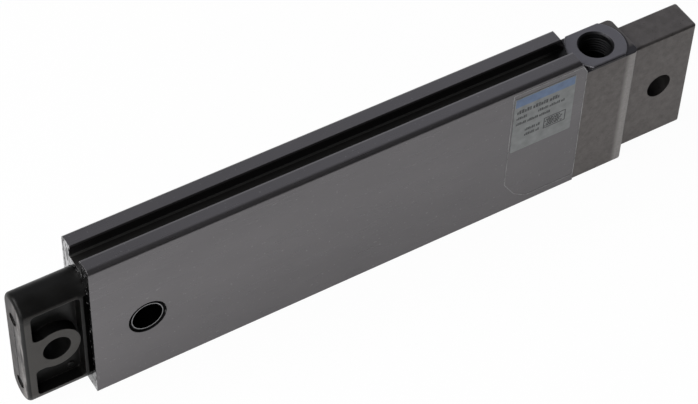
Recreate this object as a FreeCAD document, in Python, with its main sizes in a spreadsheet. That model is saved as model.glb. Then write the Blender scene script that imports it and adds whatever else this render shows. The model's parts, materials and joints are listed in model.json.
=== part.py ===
"""Flat single-acting air cylinder with spring return, as a parametric document of separate pieces.

Lengths are in millimetres. The cylinder lies along X with the sensor slot on top (+Z), the air port and
the rear lug at +X, and the plunger's eye at -X. The finished part stands with its origin under the middle
of its box. Inside the functions below, x counts from the barrel's front end. The barrel and the end cap
count z from the barrel's underside, and all other pieces count it from the bore's axis.
"""

import FreeCAD, Part
import math
import os
import Sketcher

SIZES = {
    # Barrel
    "barrel_length": 150.4,
    "side_wall": 2.275,
    "foot_wall": 1.65,
    "top_wall": 2.25,
    "barrel_top_radius": 1.4,
    "barrel_foot_radius": 0.4,
    "bore_clearance": 0.1,
    "slot_width": 5.6,
    "slot_depth": 4.4,
    "slot_lip": 1.3,
    "slot_undercut": 0.55,
    "rib_bevel_length": 2.4,
    # Plunger
    "plunger_width": 10.0,
    "plunger_height": 40.0,
    "plunger_end_radius": 1.2,
    "stroke": 40.0,
    "end_wall": 2.65,
    "eye_distance": 9.0,
    "eye_diameter": 7.9,
    "eye_boss_diameter": 13.4,
    "eye_gap": 0.7,
    "eye_web_height": 11.6,
    "pocket_wall": 4.3,
    "pocket_depth": 3.4,
    "pocket_corner_radius": 1.3,
    "end_mark_diameter": 3.8,
    "end_mark_depth": 0.5,
    "end_mark_rise": 11.8,
    "end_mark_drop": 13.9,
    "mouth_rib_setback": 0.8,
    "mouth_rib_thickness": 0.9,
    "mouth_pocket_length": 6.0,
    "rail_wall": 1.8,
    "rail_rib": 1.6,
    "rail_pocket_length": 11.4,
    # Sleeve of the front cross hole
    "sleeve_place": 15.6,
    "sleeve_bore": 8.7,
    "sleeve_wall": 0.45,
    "sleeve_recess": 0.25,
    "sleeve_side_clearance": 0.65,
    "relief_width": 0.7,
    "relief_depth": 0.8,
    # Return spring, its seats and the stop at full stroke
    "saddle_start": 2.2,
    "saddle_flange": 3.2,
    "saddle_clearance": 0.25,
    "washer_thickness": 0.5,
    "washer_clearance": 0.25,
    "buffer_diameter": 5.4,
    "buffer_depth": 1.6,
    "buffer_stand": 1.2,
    "stop_gap": 0.05,
    "spring_diameter": 8.8,
    "spring_wire": 1.0,
    "spring_turns": 9.0,
    "spring_end_gap": 0.05,
    "guide_pin_clearance": 0.4,
    "guide_flange_thickness": 1.2,
    "guide_tail_diameter": 4.0,
    "guide_tail_length": 5.0,
    # Piston head, its seal and its fixings
    "piston_length": 16.5,
    "piston_clearance": 0.2,
    "band_distance": 2.5,
    "band_length": 3.0,
    "band_depth": 1.2,
    "seal_length": 4.0,
    "seal_thickness": 2.2,
    "seal_lip_gap": 0.8,
    "seal_lip_depth": 2.4,
    "running_clearance": 0.05,
    "retainer_thickness": 2.5,
    "retainer_inset": 0.7,
    "magnet_length": 5.0,
    "magnet_width": 4.6,
    "magnet_height": 6.4,
    "magnet_cover": 2.5,
    "magnet_wall": 0.8,
    "screw_diameter": 3.0,
    "screw_head_diameter": 5.6,
    "screw_head_length": 1.7,
    "screw_clearance": 0.1,
    "screw_tip_gap": 1.0,
    "insert_diameter": 4.6,
    "insert_length": 8.0,
    "insert_wall": 1.0,
    # End cap with port and lug
    "spigot_clearance": 0.05,
    "bumper_thickness": 1.6,
    "bumper_inset": 0.5,
    "rest_gap": 0.1,
    "cap_length": 17.5,
    "cap_inset": 0.4,
    "cap_foot": 0.3,
    "cap_corner_radius": 1.5,
    "boss_overhang": 1.05,
    "boss_tail": 1.05,
    "boss_rise": 0.9,
    "boss_edge_radius": 0.6,
    "boss_clearance": 0.12,
    "port_diameter": 9.2,
    "port_chamfer": 0.55,
    "port_depth": 11.0,
    "duct_diameter": 4.0,
    "duct_drop": 8.5,
    "ring_section": 1.8,
    "ring_distance": 2.0,
    "ring_groove_length": 2.2,
    "ring_groove_depth": 1.8,
    "pin_diameter": 3.0,
    "pin_length": 9.0,
    "pin_recess": 0.3,
    "pin_edge": 0.7,
    "pin_spacing": 3.5,
    "pin_wall": 0.3,
    "lug_length": 21.45,
    "lug_width": 9.9,
    "lug_step": 1.95,
    "lug_edge_radius": 0.8,
    "lug_hole_diameter": 7.85,
    "lug_hole_distance": 10.15,
}

# Sections across the axis
BORE_WIDTH = "(dims.plunger_width + 2 * dims.bore_clearance)"
BORE_HEIGHT = "(dims.plunger_height + 2 * dims.bore_clearance)"
BARREL_WIDTH = f"({BORE_WIDTH} + 2 * dims.side_wall)"
AXIS_HEIGHT = f"(dims.foot_wall + {BORE_HEIGHT} / 2)"
SLOT_FLOOR = f"({AXIS_HEIGHT} + {BORE_HEIGHT} / 2 + dims.top_wall)"
BARREL_HEIGHT = f"({SLOT_FLOOR} + dims.slot_depth)"
SPIGOT_WIDTH = f"({BORE_WIDTH} - 2 * dims.spigot_clearance)"
SPIGOT_HEIGHT = f"({BORE_HEIGHT} - 2 * dims.spigot_clearance)"
PISTON_WIDTH = f"({BORE_WIDTH} - 2 * dims.piston_clearance)"
PISTON_HEIGHT = f"({BORE_HEIGHT} - 2 * dims.piston_clearance)"
SEAT_WIDTH = f"({PISTON_WIDTH} - 2 * dims.seal_thickness)"
SEAT_HEIGHT = f"({PISTON_HEIGHT} - 2 * dims.seal_thickness)"
RUNNING_WIDTH = f"({BORE_WIDTH} - 2 * dims.running_clearance)"
RUNNING_HEIGHT = f"({BORE_HEIGHT} - 2 * dims.running_clearance)"
SLEEVE_OUTER = "(dims.sleeve_bore + 2 * dims.sleeve_wall)"
SLOT_HEIGHT = f"({SLEEVE_OUTER} + 2 * dims.sleeve_side_clearance)"
POCKET_HEIGHT = "(dims.plunger_height - 2 * dims.pocket_wall)"
CAP_HALF_WIDTH = f"({BARREL_WIDTH} / 2 - dims.cap_inset)"
CAP_TOP = f"(2 * {AXIS_HEIGHT} - dims.cap_foot)"
LUG_HEIGHT = f"({CAP_TOP} - dims.cap_foot - 2 * dims.lug_step)"
BOSS_RADIUS = "((dims.cap_length + dims.boss_overhang - dims.boss_tail) / 2)"
BOSS_TOP = f"({CAP_TOP} + dims.boss_rise)"
RING_SEAT_WIDTH = f"({SPIGOT_WIDTH} - 2 * dims.ring_groove_depth)"
RING_SEAT_HEIGHT = f"({SPIGOT_HEIGHT} - 2 * dims.ring_groove_depth)"
BAND_SEAT_WIDTH = f"({PISTON_WIDTH} - 2 * dims.band_depth)"
BAND_SEAT_HEIGHT = f"({PISTON_HEIGHT} - 2 * dims.band_depth)"
SCREW_HOLE = "(dims.screw_diameter + 2 * dims.screw_clearance)"
MAGNET_RISE = f"({PISTON_HEIGHT} / 2 - dims.magnet_cover - dims.magnet_height / 2)"
SCREW_RISE = f"({MAGNET_RISE} - dims.magnet_height / 2 - dims.magnet_wall - {SCREW_HOLE} / 2)"
DUCT_HEIGHT = f"({BOSS_TOP} - dims.duct_drop)"
PIN_GUIDE_DIAMETER = "(dims.spring_diameter - 2 * dims.spring_wire - 2 * dims.guide_pin_clearance)"

# Places along the axis, from the barrel's front end
MOUTH_RIB = "(dims.mouth_rib_thickness + dims.mouth_rib_setback)"
PLUNGER_REACH = f"(dims.eye_distance + dims.eye_boss_diameter / 2 + dims.eye_gap + {MOUTH_RIB})"
FRONT_SHIFT = f"({PLUNGER_REACH} - dims.barrel_length - dims.cap_length - dims.lug_length) / 2"
PIN_PLACE = "(dims.barrel_length - dims.pin_edge - dims.pin_diameter / 2)"
RING_GROOVE_REAR = f"({PIN_PLACE} - dims.pin_spacing - dims.pin_diameter / 2 - dims.pin_wall)"
RING_GROOVE_FRONT = f"({RING_GROOVE_REAR} - dims.ring_groove_length)"
SPIGOT_FACE = f"({RING_GROOVE_FRONT} - dims.ring_distance)"
SPIGOT_LENGTH = f"(dims.barrel_length - {SPIGOT_FACE})"
BUMPER_FACE = f"({SPIGOT_FACE} - dims.bumper_thickness)"
RETAINER_REAR = f"({BUMPER_FACE} - dims.rest_gap)"
RETAINER_FRONT = f"({RETAINER_REAR} - dims.retainer_thickness)"
PISTON_FRONT = f"({RETAINER_FRONT} - dims.piston_length)"
SEAL_FRONT = f"({RETAINER_FRONT} - dims.seal_length)"
SLOT_REAR = f"({PISTON_FRONT} - dims.insert_length - dims.insert_wall)"
SPRING_REAR = f"({SLOT_REAR} - dims.guide_flange_thickness)"
SADDLE_FACE = f"(dims.sleeve_place + {SLEEVE_OUTER} / 2 + dims.saddle_flange)"
WASHER_FACE = f"({SADDLE_FACE} + dims.washer_thickness)"
PIN_TIP = f"({SADDLE_FACE} + dims.buffer_stand + dims.stroke + dims.stop_gap)"
POCKET_START = f"(dims.end_wall - {PLUNGER_REACH})"
RIB_FRONT = f"-{MOUTH_RIB}"
EYE_PLACE = f"(dims.eye_distance - {PLUNGER_REACH})"
RAIL_START = "(dims.mouth_pocket_length - dims.mouth_rib_setback + dims.rail_rib)"
RAIL_PITCH = "(dims.rail_pocket_length + dims.rail_rib)"
RAIL_END = f"({PISTON_FRONT} - dims.insert_length)"
PORT_PLACE = f"(dims.barrel_length - dims.boss_overhang + {BOSS_RADIUS})"
LUG_START = "(dims.barrel_length + dims.cap_length)"
LUG_HOLE_PLACE = f"({LUG_START} + dims.lug_length - dims.lug_hole_distance)"

X_AXIS = FreeCAD.Vector(1, 0, 0)
Y_AXIS = FreeCAD.Vector(0, 1, 0)
Z_AXIS = FreeCAD.Vector(0, 0, 1)
NEAR = 1e-3
WIRE_SIDES = 4

doc = FreeCAD.newDocument("flat_cylinder")
pieces = []


def make_sheet():
    """Write the driving sizes into the document's sheet, one named cell each."""
    sheet = doc.addObject("Spreadsheet::Sheet", "dims")
    for row, (name, number) in enumerate(SIZES.items(), start=1):
        sheet.set(f"A{row}", name)
        sheet.set(f"B{row}", str(number))
        sheet.setAlias(f"B{row}", name)
    doc.recompute()
    return sheet


sheet = make_sheet()


def size(name):
    """Read one driving size as a number."""
    return float(sheet.get(name))


def new_piece(label, height=AXIS_HEIGHT, several=False):
    """Start a body whose own x counts from the barrel's front end and z from the given height."""
    body = doc.addObject("PartDesign::Body", label)
    body.Label = label
    body.AllowCompound = several
    body.setExpression("Placement.Base.x", FRONT_SHIFT)
    body.setExpression("Placement.Base.z", height)
    pieces.append(body)
    return body


def origin_feature(body, role):
    """Find one of the body's own planes or axes."""
    return next(feature for feature in body.Origin.OriginFeatures if feature.Role == role)


def new_sketch(body, name, plane, right="0", up="0", out="0"):
    """Attach a sketch to an origin plane, with its own origin shifted along the plane's directions."""
    sketch = body.newObject("Sketcher::SketchObject", name)
    sketch.AttachmentSupport = [(origin_feature(body, plane), "")]
    sketch.MapMode = "FlatFace"
    for axis, place in (("x", right), ("y", up), ("z", out)):
        sketch.setExpression(f"AttachmentOffset.Base.{axis}", place)
    return sketch


def across(body, name, x="0", z="0", y="0"):
    """A sketch across the axis, seen from the rear: right is Y, up is Z, out is X."""
    return new_sketch(body, name, "YZ_Plane", y, z, x)


def side(body, name, x="0", z="0", y="0"):
    """A sketch on the side of the part: right is X, up is Z, out is -Y."""
    return new_sketch(body, name, "XZ_Plane", x, z, f"-({y})")


def plan(body, name, x="0", z="0", y="0"):
    """A sketch seen from above: right is X, up is Y, out is Z."""
    return new_sketch(body, name, "XY_Plane", x, y, z)


def hold(sketch, expression, kind, *elements):
    """Add a dimension to the sketch and bind it to an expression of the sheet."""
    number = sketch.addConstraint(Sketcher.Constraint(kind, *elements))
    sketch.setExpression(f"Constraints[{number}]", expression)


def polygon(sketch, points):
    """A closed outline through points given as pairs of expressions."""
    count = len(points)
    rough = [FreeCAD.Vector(10 * i, 7 * i * (count - i), 0) for i in range(count)]
    lines = []
    for i in range(count):
        lines.append(sketch.addGeometry(Part.LineSegment(rough[i], rough[(i + 1) % count])))
    for i, line in enumerate(lines):
        following = lines[(i + 1) % count]
        sketch.addConstraint(Sketcher.Constraint("Coincident", line, 2, following, 1))
    for line, (right, up) in zip(lines, points):
        hold(sketch, right, "DistanceX", -1, 1, line, 1, 1.0)
        hold(sketch, up, "DistanceY", -1, 1, line, 1, 1.0)
    return sketch


def rectangle(sketch, left, right, low, high):
    """A rectangle between four expressions."""
    return polygon(sketch, [(left, low), (right, low), (right, high), (left, high)])


def centred_rectangle(sketch, width, height):
    """A rectangle about the sketch's origin."""
    return rectangle(sketch, f"-{width} / 2", f"{width} / 2", f"-{height} / 2", f"{height} / 2")


def circle(sketch, diameter):
    """A circle about the sketch's origin."""
    shape = sketch.addGeometry(Part.Circle(FreeCAD.Vector(), Z_AXIS, 4.0))
    sketch.addConstraint(Sketcher.Constraint("Coincident", shape, 3, -1, 1))
    hold(sketch, diameter, "Diameter", shape, 8.0)
    return sketch


def regular_polygon(sketch, diameter, sides):
    """A regular polygon about the sketch's origin, its corners on a circle of the diameter."""
    corners = []
    for i in range(sides):
        angle = 360 * i / sides
        corners.append((f"{diameter} / 2 * cos({angle})", f"{diameter} / 2 * sin({angle})"))
    return polygon(sketch, corners)


def oblong(sketch, width, height):
    """An upright oblong with half-round ends about the sketch's origin."""
    half = 5.0
    rise = 15.0
    upper = FreeCAD.Vector(0, rise, 0)
    lower = FreeCAD.Vector(0, -rise, 0)
    across_half = FreeCAD.Vector(half, 0, 0)
    top = sketch.addGeometry(Part.ArcOfCircle(Part.Circle(upper, Z_AXIS, half), 0.0, math.pi))
    left = sketch.addGeometry(Part.LineSegment(upper - across_half, lower - across_half))
    low = sketch.addGeometry(Part.ArcOfCircle(Part.Circle(lower, Z_AXIS, half), math.pi, 2 * math.pi))
    right = sketch.addGeometry(Part.LineSegment(lower + across_half, upper + across_half))
    for first, second in ((top, left), (left, low), (low, right), (right, top)):
        sketch.addConstraint(Sketcher.Constraint("Tangent", first, 2, second, 1))
    sketch.addConstraint(Sketcher.Constraint("Vertical", left))
    sketch.addConstraint(Sketcher.Constraint("Equal", top, low))
    sketch.addConstraint(Sketcher.Constraint("Symmetric", top, 3, low, 3, -1, 1))
    hold(sketch, f"{width} / 2", "Radius", top, half)
    hold(sketch, f"{height} - {width}", "DistanceY", low, 3, top, 3, 2 * rise)
    return sketch


def flatted_circle(sketch, radius, half_width):
    """A circle about the sketch's origin, cut flat at both sides along the sketch's right direction."""
    rough = 8.0
    lean = 0.9
    whole = Part.Circle(FreeCAD.Vector(), Z_AXIS, rough)
    right_arc = sketch.addGeometry(Part.ArcOfCircle(whole, -lean, lean))
    left_arc = sketch.addGeometry(Part.ArcOfCircle(whole, math.pi - lean, math.pi + lean))
    reach = rough * math.cos(lean)
    rise = rough * math.sin(lean)
    upper = Part.LineSegment(FreeCAD.Vector(reach, rise, 0), FreeCAD.Vector(-reach, rise, 0))
    lower = Part.LineSegment(FreeCAD.Vector(-reach, -rise, 0), FreeCAD.Vector(reach, -rise, 0))
    upper_line = sketch.addGeometry(upper)
    lower_line = sketch.addGeometry(lower)
    outline = (right_arc, upper_line, left_arc, lower_line)
    for first, second in zip(outline, outline[1:] + outline[:1]):
        sketch.addConstraint(Sketcher.Constraint("Coincident", first, 2, second, 1))
    for line in (upper_line, lower_line):
        sketch.addConstraint(Sketcher.Constraint("Horizontal", line))
    for arc in (right_arc, left_arc):
        sketch.addConstraint(Sketcher.Constraint("Coincident", arc, 3, -1, 1))
    sketch.addConstraint(Sketcher.Constraint("Equal", right_arc, left_arc))
    hold(sketch, radius, "Radius", right_arc, rough)
    hold(sketch, half_width, "DistanceY", -1, 1, upper_line, 1, rise)
    hold(sketch, half_width, "DistanceY", lower_line, 1, -1, 1, rise)
    return sketch


def pad(body, name, sketch, length, centred=False):
    """Add material from a sketch along its out direction, or half to each side of it."""
    feature = body.newObject("PartDesign::Pad", name)
    feature.Profile = sketch
    feature.SideType = "Symmetric" if centred else "One side"
    feature.setExpression("Length", length)
    doc.recompute()
    return feature


def pocket(body, name, sketch, length, centred=False, outward=False):
    """Cut into the body against the sketch's out direction, along it, or half to each side of it."""
    before = body.Shape.Volume
    feature = body.newObject("PartDesign::Pocket", name)
    feature.Profile = sketch
    feature.SideType = "Symmetric" if centred else "One side"
    feature.Reversed = outward
    feature.setExpression("Length", length)
    doc.recompute()
    if body.Shape.Volume > before - NEAR:
        raise RuntimeError(f"{body.Label}: {name} cuts nothing")
    return feature


def turn(body, name, sketch):
    """Revolve a sketch about its own right direction."""
    feature = body.newObject("PartDesign::Revolution", name)
    feature.Profile = sketch
    feature.ReferenceAxis = (sketch, ["H_Axis"])
    doc.recompute()
    return feature


def turn_away(body, name, sketch):
    """Cut the revolved sketch about its own right direction out of the body."""
    before = body.Shape.Volume
    feature = body.newObject("PartDesign::Groove", name)
    feature.Profile = sketch
    feature.ReferenceAxis = (sketch, ["H_Axis"])
    doc.recompute()
    if body.Shape.Volume > before - NEAR:
        raise RuntimeError(f"{body.Label}: {name} cuts nothing")
    return feature


def mirror(body, name, features, plane):
    """Repeat features on the other side of one of the body's origin planes."""
    feature = body.newObject("PartDesign::Mirrored", name)
    feature.Originals = features
    feature.MirrorPlane = (origin_feature(body, plane), [""])
    body.Tip = feature
    doc.recompute()
    return feature


def straight_edges(shape, direction, keep):
    """Name the straight edges along a direction whose middle passes a test."""
    names = []
    for number, edge in enumerate(shape.Edges, start=1):
        if edge.Degenerated or edge.Curve.TypeId != "Part::GeomLine":
            continue
        along = edge.tangentAt(edge.FirstParameter)
        if abs(abs(along.dot(direction)) - 1) < NEAR and keep(edge.CenterOfMass):
            names.append(f"Edge{number}")
    return names


def level_circles(shape, diameter, z):
    """Name the circles of a diameter that lie level at a height."""
    names = []
    for number, edge in enumerate(shape.Edges, start=1):
        if edge.Degenerated or edge.Curve.TypeId != "Part::GeomCircle":
            continue
        if abs(2 * edge.Curve.Radius - diameter) < NEAR and abs(edge.BoundBox.ZMin - z) < NEAR:
            names.append(f"Edge{number}")
    return names


def edges_in_plane(shape, x):
    """Name the edges that lie wholly in the plane across the axis at x."""
    names = []
    for number, edge in enumerate(shape.Edges, start=1):
        box = edge.BoundBox
        if abs(box.XMin - x) < NEAR and abs(box.XMax - x) < NEAR:
            names.append(f"Edge{number}")
    return names


def level_edges(shape, z):
    """Name the edges that lie wholly at a height."""
    names = []
    for number, edge in enumerate(shape.Edges, start=1):
        box = edge.BoundBox
        if abs(box.ZMin - z) < NEAR and abs(box.ZMax - z) < NEAR:
            names.append(f"Edge{number}")
    return names


def round_edges(body, name, feature, edges, radius):
    """Round named edges of the latest feature."""
    rounding = body.newObject("PartDesign::Fillet", name)
    rounding.Base = (feature, edges)
    rounding.setExpression("Radius", radius)
    doc.recompute()
    return rounding


def make_barrel():
    """The extrusion: oblong bore, sensor slot between two ribs, cross hole and cap pin holes."""
    body = new_piece("barrel", height="0")
    section = rectangle(
        across(body, "barrel_section"),
        f"-{BARREL_WIDTH} / 2",
        f"{BARREL_WIDTH} / 2",
        "0",
        BARREL_HEIGHT,
    )
    block = pad(body, "barrel_block", section, "dims.barrel_length")
    middle = block.Shape.BoundBox.Center.z
    top_edges = straight_edges(block.Shape, X_AXIS, lambda place: place.z > middle)
    rounded = round_edges(body, "top_edges", block, top_edges, "dims.barrel_top_radius")
    foot_edges = straight_edges(rounded.Shape, X_AXIS, lambda place: place.z < NEAR)
    round_edges(body, "foot_edges", rounded, foot_edges, "dims.barrel_foot_radius")

    bore = oblong(across(body, "bore_section", z=AXIS_HEIGHT), BORE_WIDTH, BORE_HEIGHT)
    pocket(body, "bore", bore, "dims.barrel_length", outward=True)

    half_slot = "dims.slot_width / 2"
    mouth = across(body, "slot_mouth_section", z=SLOT_FLOOR)
    rectangle(mouth, f"-{half_slot}", half_slot, "0", "dims.slot_depth")
    pocket(body, "slot_mouth", mouth, "dims.barrel_length", outward=True)
    half_undercut = f"({half_slot} + dims.slot_undercut)"
    undercut = across(body, "slot_undercut_section", z=SLOT_FLOOR)
    rectangle(undercut, f"-{half_undercut}", half_undercut, "0", "dims.slot_depth - dims.slot_lip")
    pocket(body, "slot_undercut", undercut, "dims.barrel_length", outward=True)

    bevel = polygon(
        side(body, "rib_bevel_outline", x="dims.barrel_length", z=SLOT_FLOOR),
        [("0", "0"), ("0", "dims.slot_depth"), ("-dims.rib_bevel_length", "dims.slot_depth")],
    )
    pocket(body, "rib_bevel", bevel, BARREL_WIDTH, centred=True)
    notch = plan(body, "boss_notch_circle", x=PORT_PLACE, z=f"{CAP_TOP} - dims.boss_clearance")
    circle(notch, f"2 * ({BOSS_RADIUS} + dims.boss_clearance)")
    pocket(body, "boss_notch", notch, f"{BARREL_HEIGHT} - {CAP_TOP} + dims.boss_clearance", outward=True)

    hole = side(body, "cross_hole_circle", x="dims.sleeve_place", z=AXIS_HEIGHT)
    circle(hole, SLEEVE_OUTER)
    pocket(body, "cross_hole", hole, BARREL_WIDTH, centred=True)
    front_face = f"-{BARREL_WIDTH} / 2"
    relief = side(body, "cross_hole_relief_circle", x="dims.sleeve_place", z=AXIS_HEIGHT, y=front_face)
    circle(relief, f"{SLEEVE_OUTER} + 2 * dims.relief_width")
    front_relief = pocket(body, "cross_hole_relief", relief, "dims.relief_depth")
    mirror(body, "cross_hole_reliefs", [front_relief], "XZ_Plane")

    pin_holes(body)
    return body


def pin_holes(body):
    """Holes for the cap pins, drilled up from the barrel's underside."""
    first = circle(plan(body, "pin_hole_circle", x=PIN_PLACE), "dims.pin_diameter")
    hole = pocket(body, "pin_hole", first, "dims.pin_recess + dims.pin_length", outward=True)
    return repeat_pins(body, "pin_holes", hole)


def repeat_pins(body, name, feature):
    """Repeat a feature at the second cap pin."""
    pattern = body.newObject("PartDesign::LinearPattern", name)
    pattern.Originals = [feature]
    pattern.Direction = (origin_feature(body, "X_Axis"), [""])
    pattern.Reversed = True
    pattern.setExpression("Length", "dims.pin_spacing")
    pattern.Occurrences = 2
    body.Tip = pattern
    doc.recompute()
    return pattern


def make_end_cap():
    """The cap: spigot in the bore, plain block, round port boss on top and the rear lug."""
    body = new_piece("end_cap", height="0")
    spigot = across(body, "spigot_section", x=SPIGOT_FACE, z=AXIS_HEIGHT)
    oblong(spigot, SPIGOT_WIDTH, SPIGOT_HEIGHT)
    pad(body, "spigot", spigot, SPIGOT_LENGTH)

    outline = plan(body, "cap_outline", x="dims.barrel_length", z="dims.cap_foot")
    rectangle(outline, "0", "dims.cap_length", f"-{CAP_HALF_WIDTH}", CAP_HALF_WIDTH)
    block = pad(body, "cap_block", outline, f"{CAP_TOP} - dims.cap_foot")
    cap_rear = block.Shape.BoundBox.XMax
    corners = straight_edges(block.Shape, Z_AXIS, lambda place: place.x > cap_rear - NEAR)
    round_edges(body, "cap_corners", block, corners, "dims.cap_corner_radius")
    boss = plan(body, "boss_outline", x=PORT_PLACE, z=CAP_TOP)
    flatted_circle(boss, BOSS_RADIUS, CAP_HALF_WIDTH)
    port_boss = pad(body, "port_boss", boss, "dims.boss_rise")
    boss_edges = level_edges(port_boss.Shape, port_boss.Shape.BoundBox.ZMax)
    round_edges(body, "boss_edges", port_boss, boss_edges, "dims.boss_edge_radius")

    root = "dims.cap_corner_radius / 2"
    lug = across(body, "lug_section", x=f"{LUG_START} - {root}", z=AXIS_HEIGHT)
    centred_rectangle(lug, "dims.lug_width", LUG_HEIGHT)
    lug_block = pad(body, "lug", lug, f"dims.lug_length + {root}")
    long_edges = straight_edges(lug_block.Shape, X_AXIS, lambda place: place.x > cap_rear)
    end_edges = edges_in_plane(lug_block.Shape, lug_block.Shape.BoundBox.XMax)
    round_edges(body, "lug_edges", lug_block, long_edges + end_edges, "dims.lug_edge_radius")

    lug_hole = side(body, "lug_hole_circle", x=LUG_HOLE_PLACE, z=AXIS_HEIGHT)
    circle(lug_hole, "dims.lug_hole_diameter")
    pocket(body, "lug_hole", lug_hole, "dims.lug_width", centred=True)

    port = circle(plan(body, "port_circle", x=PORT_PLACE, z=BOSS_TOP), "dims.port_diameter")
    port_hole = pocket(body, "port", port, "dims.port_depth")
    mouth = level_circles(port_hole.Shape, size("port_diameter"), port_hole.Shape.BoundBox.ZMax)
    chamfer = body.newObject("PartDesign::Chamfer", "port_mouth")
    chamfer.Base = (port_hole, mouth)
    chamfer.setExpression("Size", "dims.port_chamfer")
    doc.recompute()

    duct = circle(across(body, "duct_circle", x=SPIGOT_FACE, z=DUCT_HEIGHT), "dims.duct_diameter")
    pocket(body, "duct", duct, f"{PORT_PLACE} - {SPIGOT_FACE}", outward=True)

    groove = across(body, "ring_groove_section", x=RING_GROOVE_FRONT, z=AXIS_HEIGHT)
    oblong(groove, BORE_WIDTH, BORE_HEIGHT)
    oblong(groove, RING_SEAT_WIDTH, RING_SEAT_HEIGHT)
    pocket(body, "ring_groove", groove, "dims.ring_groove_length", outward=True)

    pin_holes(body)
    return body


def make_cap_seal():
    """Oblong sealing ring of square section in the spigot's groove."""
    body = new_piece("cap_seal")
    front = f"{RING_GROOVE_FRONT} + (dims.ring_groove_length - dims.ring_section) / 2"
    width = f"({RING_SEAT_WIDTH} + 2 * dims.ring_section)"
    height = f"({RING_SEAT_HEIGHT} + 2 * dims.ring_section)"
    ring = across(body, "ring_section", x=front)
    oblong(ring, width, height)
    oblong(ring, RING_SEAT_WIDTH, RING_SEAT_HEIGHT)
    pad(body, "ring", ring, "dims.ring_section")
    return body


def make_cap_pins():
    """Two plain pins pressed up through the barrel's underside into the spigot."""
    body = new_piece("cap_pins", height="0", several=True)
    outline = circle(plan(body, "pin_circle", x=PIN_PLACE, z="dims.pin_recess"), "dims.pin_diameter")
    pin = pad(body, "pin", outline, "dims.pin_length")
    repeat_pins(body, "pins", pin)
    return body


def make_rear_bumper():
    """Soft pad on the spigot's face, with a hole for the air duct."""
    body = new_piece("rear_bumper")
    outline = oblong(
        across(body, "bumper_outline", x=BUMPER_FACE),
        f"({SPIGOT_WIDTH} - 2 * dims.bumper_inset)",
        f"({SPIGOT_HEIGHT} - 2 * dims.bumper_inset)",
    )
    pad(body, "bumper", outline, "dims.bumper_thickness")
    hole = across(body, "bumper_hole_circle", x=BUMPER_FACE, z=f"{DUCT_HEIGHT} - {AXIS_HEIGHT}")
    circle(hole, "dims.duct_diameter")
    pocket(body, "bumper_hole", hole, "dims.bumper_thickness", outward=True)
    return body


def make_mounting_sleeve():
    """Thin steel sleeve through both walls of the barrel."""
    body = new_piece("mounting_sleeve")
    ring = side(body, "sleeve_section", x="dims.sleeve_place")
    circle(ring, SLEEVE_OUTER)
    circle(ring, "dims.sleeve_bore")
    pad(body, "sleeve", ring, f"{BARREL_WIDTH} - 2 * dims.sleeve_recess", centred=True)
    return body


def make_spring_saddle():
    """Moulded seat that the spring presses against the sleeve."""
    body = new_piece("spring_saddle")
    half_height = f"({SLOT_HEIGHT} / 2 - dims.saddle_clearance)"
    outline = rectangle(
        side(body, "saddle_outline"),
        "dims.sleeve_place + dims.saddle_start",
        SADDLE_FACE,
        f"-{half_height}",
        half_height,
    )
    pad(body, "saddle_block", outline, f"{BORE_WIDTH} - 2 * dims.saddle_clearance", centred=True)
    seat = circle(side(body, "saddle_seat_circle", x="dims.sleeve_place"), SLEEVE_OUTER)
    pocket(body, "saddle_seat", seat, BORE_WIDTH, centred=True)
    recess = circle(across(body, "buffer_recess_circle", x=SADDLE_FACE), "dims.buffer_diameter")
    pocket(body, "buffer_recess", recess, "dims.buffer_depth")
    return body


def make_stop_buffer():
    """Soft plug in the saddle that the guide pin's tip meets at full stroke."""
    body = new_piece("stop_buffer")
    outline = across(body, "buffer_circle", x=f"{SADDLE_FACE} - dims.buffer_depth")
    circle(outline, "dims.buffer_diameter")
    pad(body, "buffer", outline, "dims.buffer_depth + dims.buffer_stand")
    return body


def make_spring_washer():
    """Thin washer between the spring's front turn and the saddle."""
    body = new_piece("spring_washer")
    ring = across(body, "washer_section", x=SADDLE_FACE)
    circle(ring, "dims.spring_diameter")
    circle(ring, "(dims.buffer_diameter + 2 * dims.washer_clearance)")
    pad(body, "washer", ring, "dims.washer_thickness")
    return body


def make_return_spring():
    """Square-wire spring between the washer and the guide pin's flange, at its rest length."""
    body = new_piece("return_spring")
    inset = "(dims.spring_wire / 2 + dims.spring_end_gap)"
    coil_radius = "(dims.spring_diameter - dims.spring_wire) / 2"
    wire = side(body, "wire_section", x=f"{WASHER_FACE} + {inset}", z=coil_radius)
    regular_polygon(wire, "dims.spring_wire", WIRE_SIDES)
    coil = body.newObject("PartDesign::AdditiveHelix", "coil")
    coil.Profile = wire
    coil.ReferenceAxis = (origin_feature(body, "X_Axis"), [""])
    coil.Mode = "height-turns-angle"
    coil.setExpression("Height", f"{SPRING_REAR} - {WASHER_FACE} - 2 * {inset}")
    coil.setExpression("Turns", "dims.spring_turns")
    doc.recompute()
    return body


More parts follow.
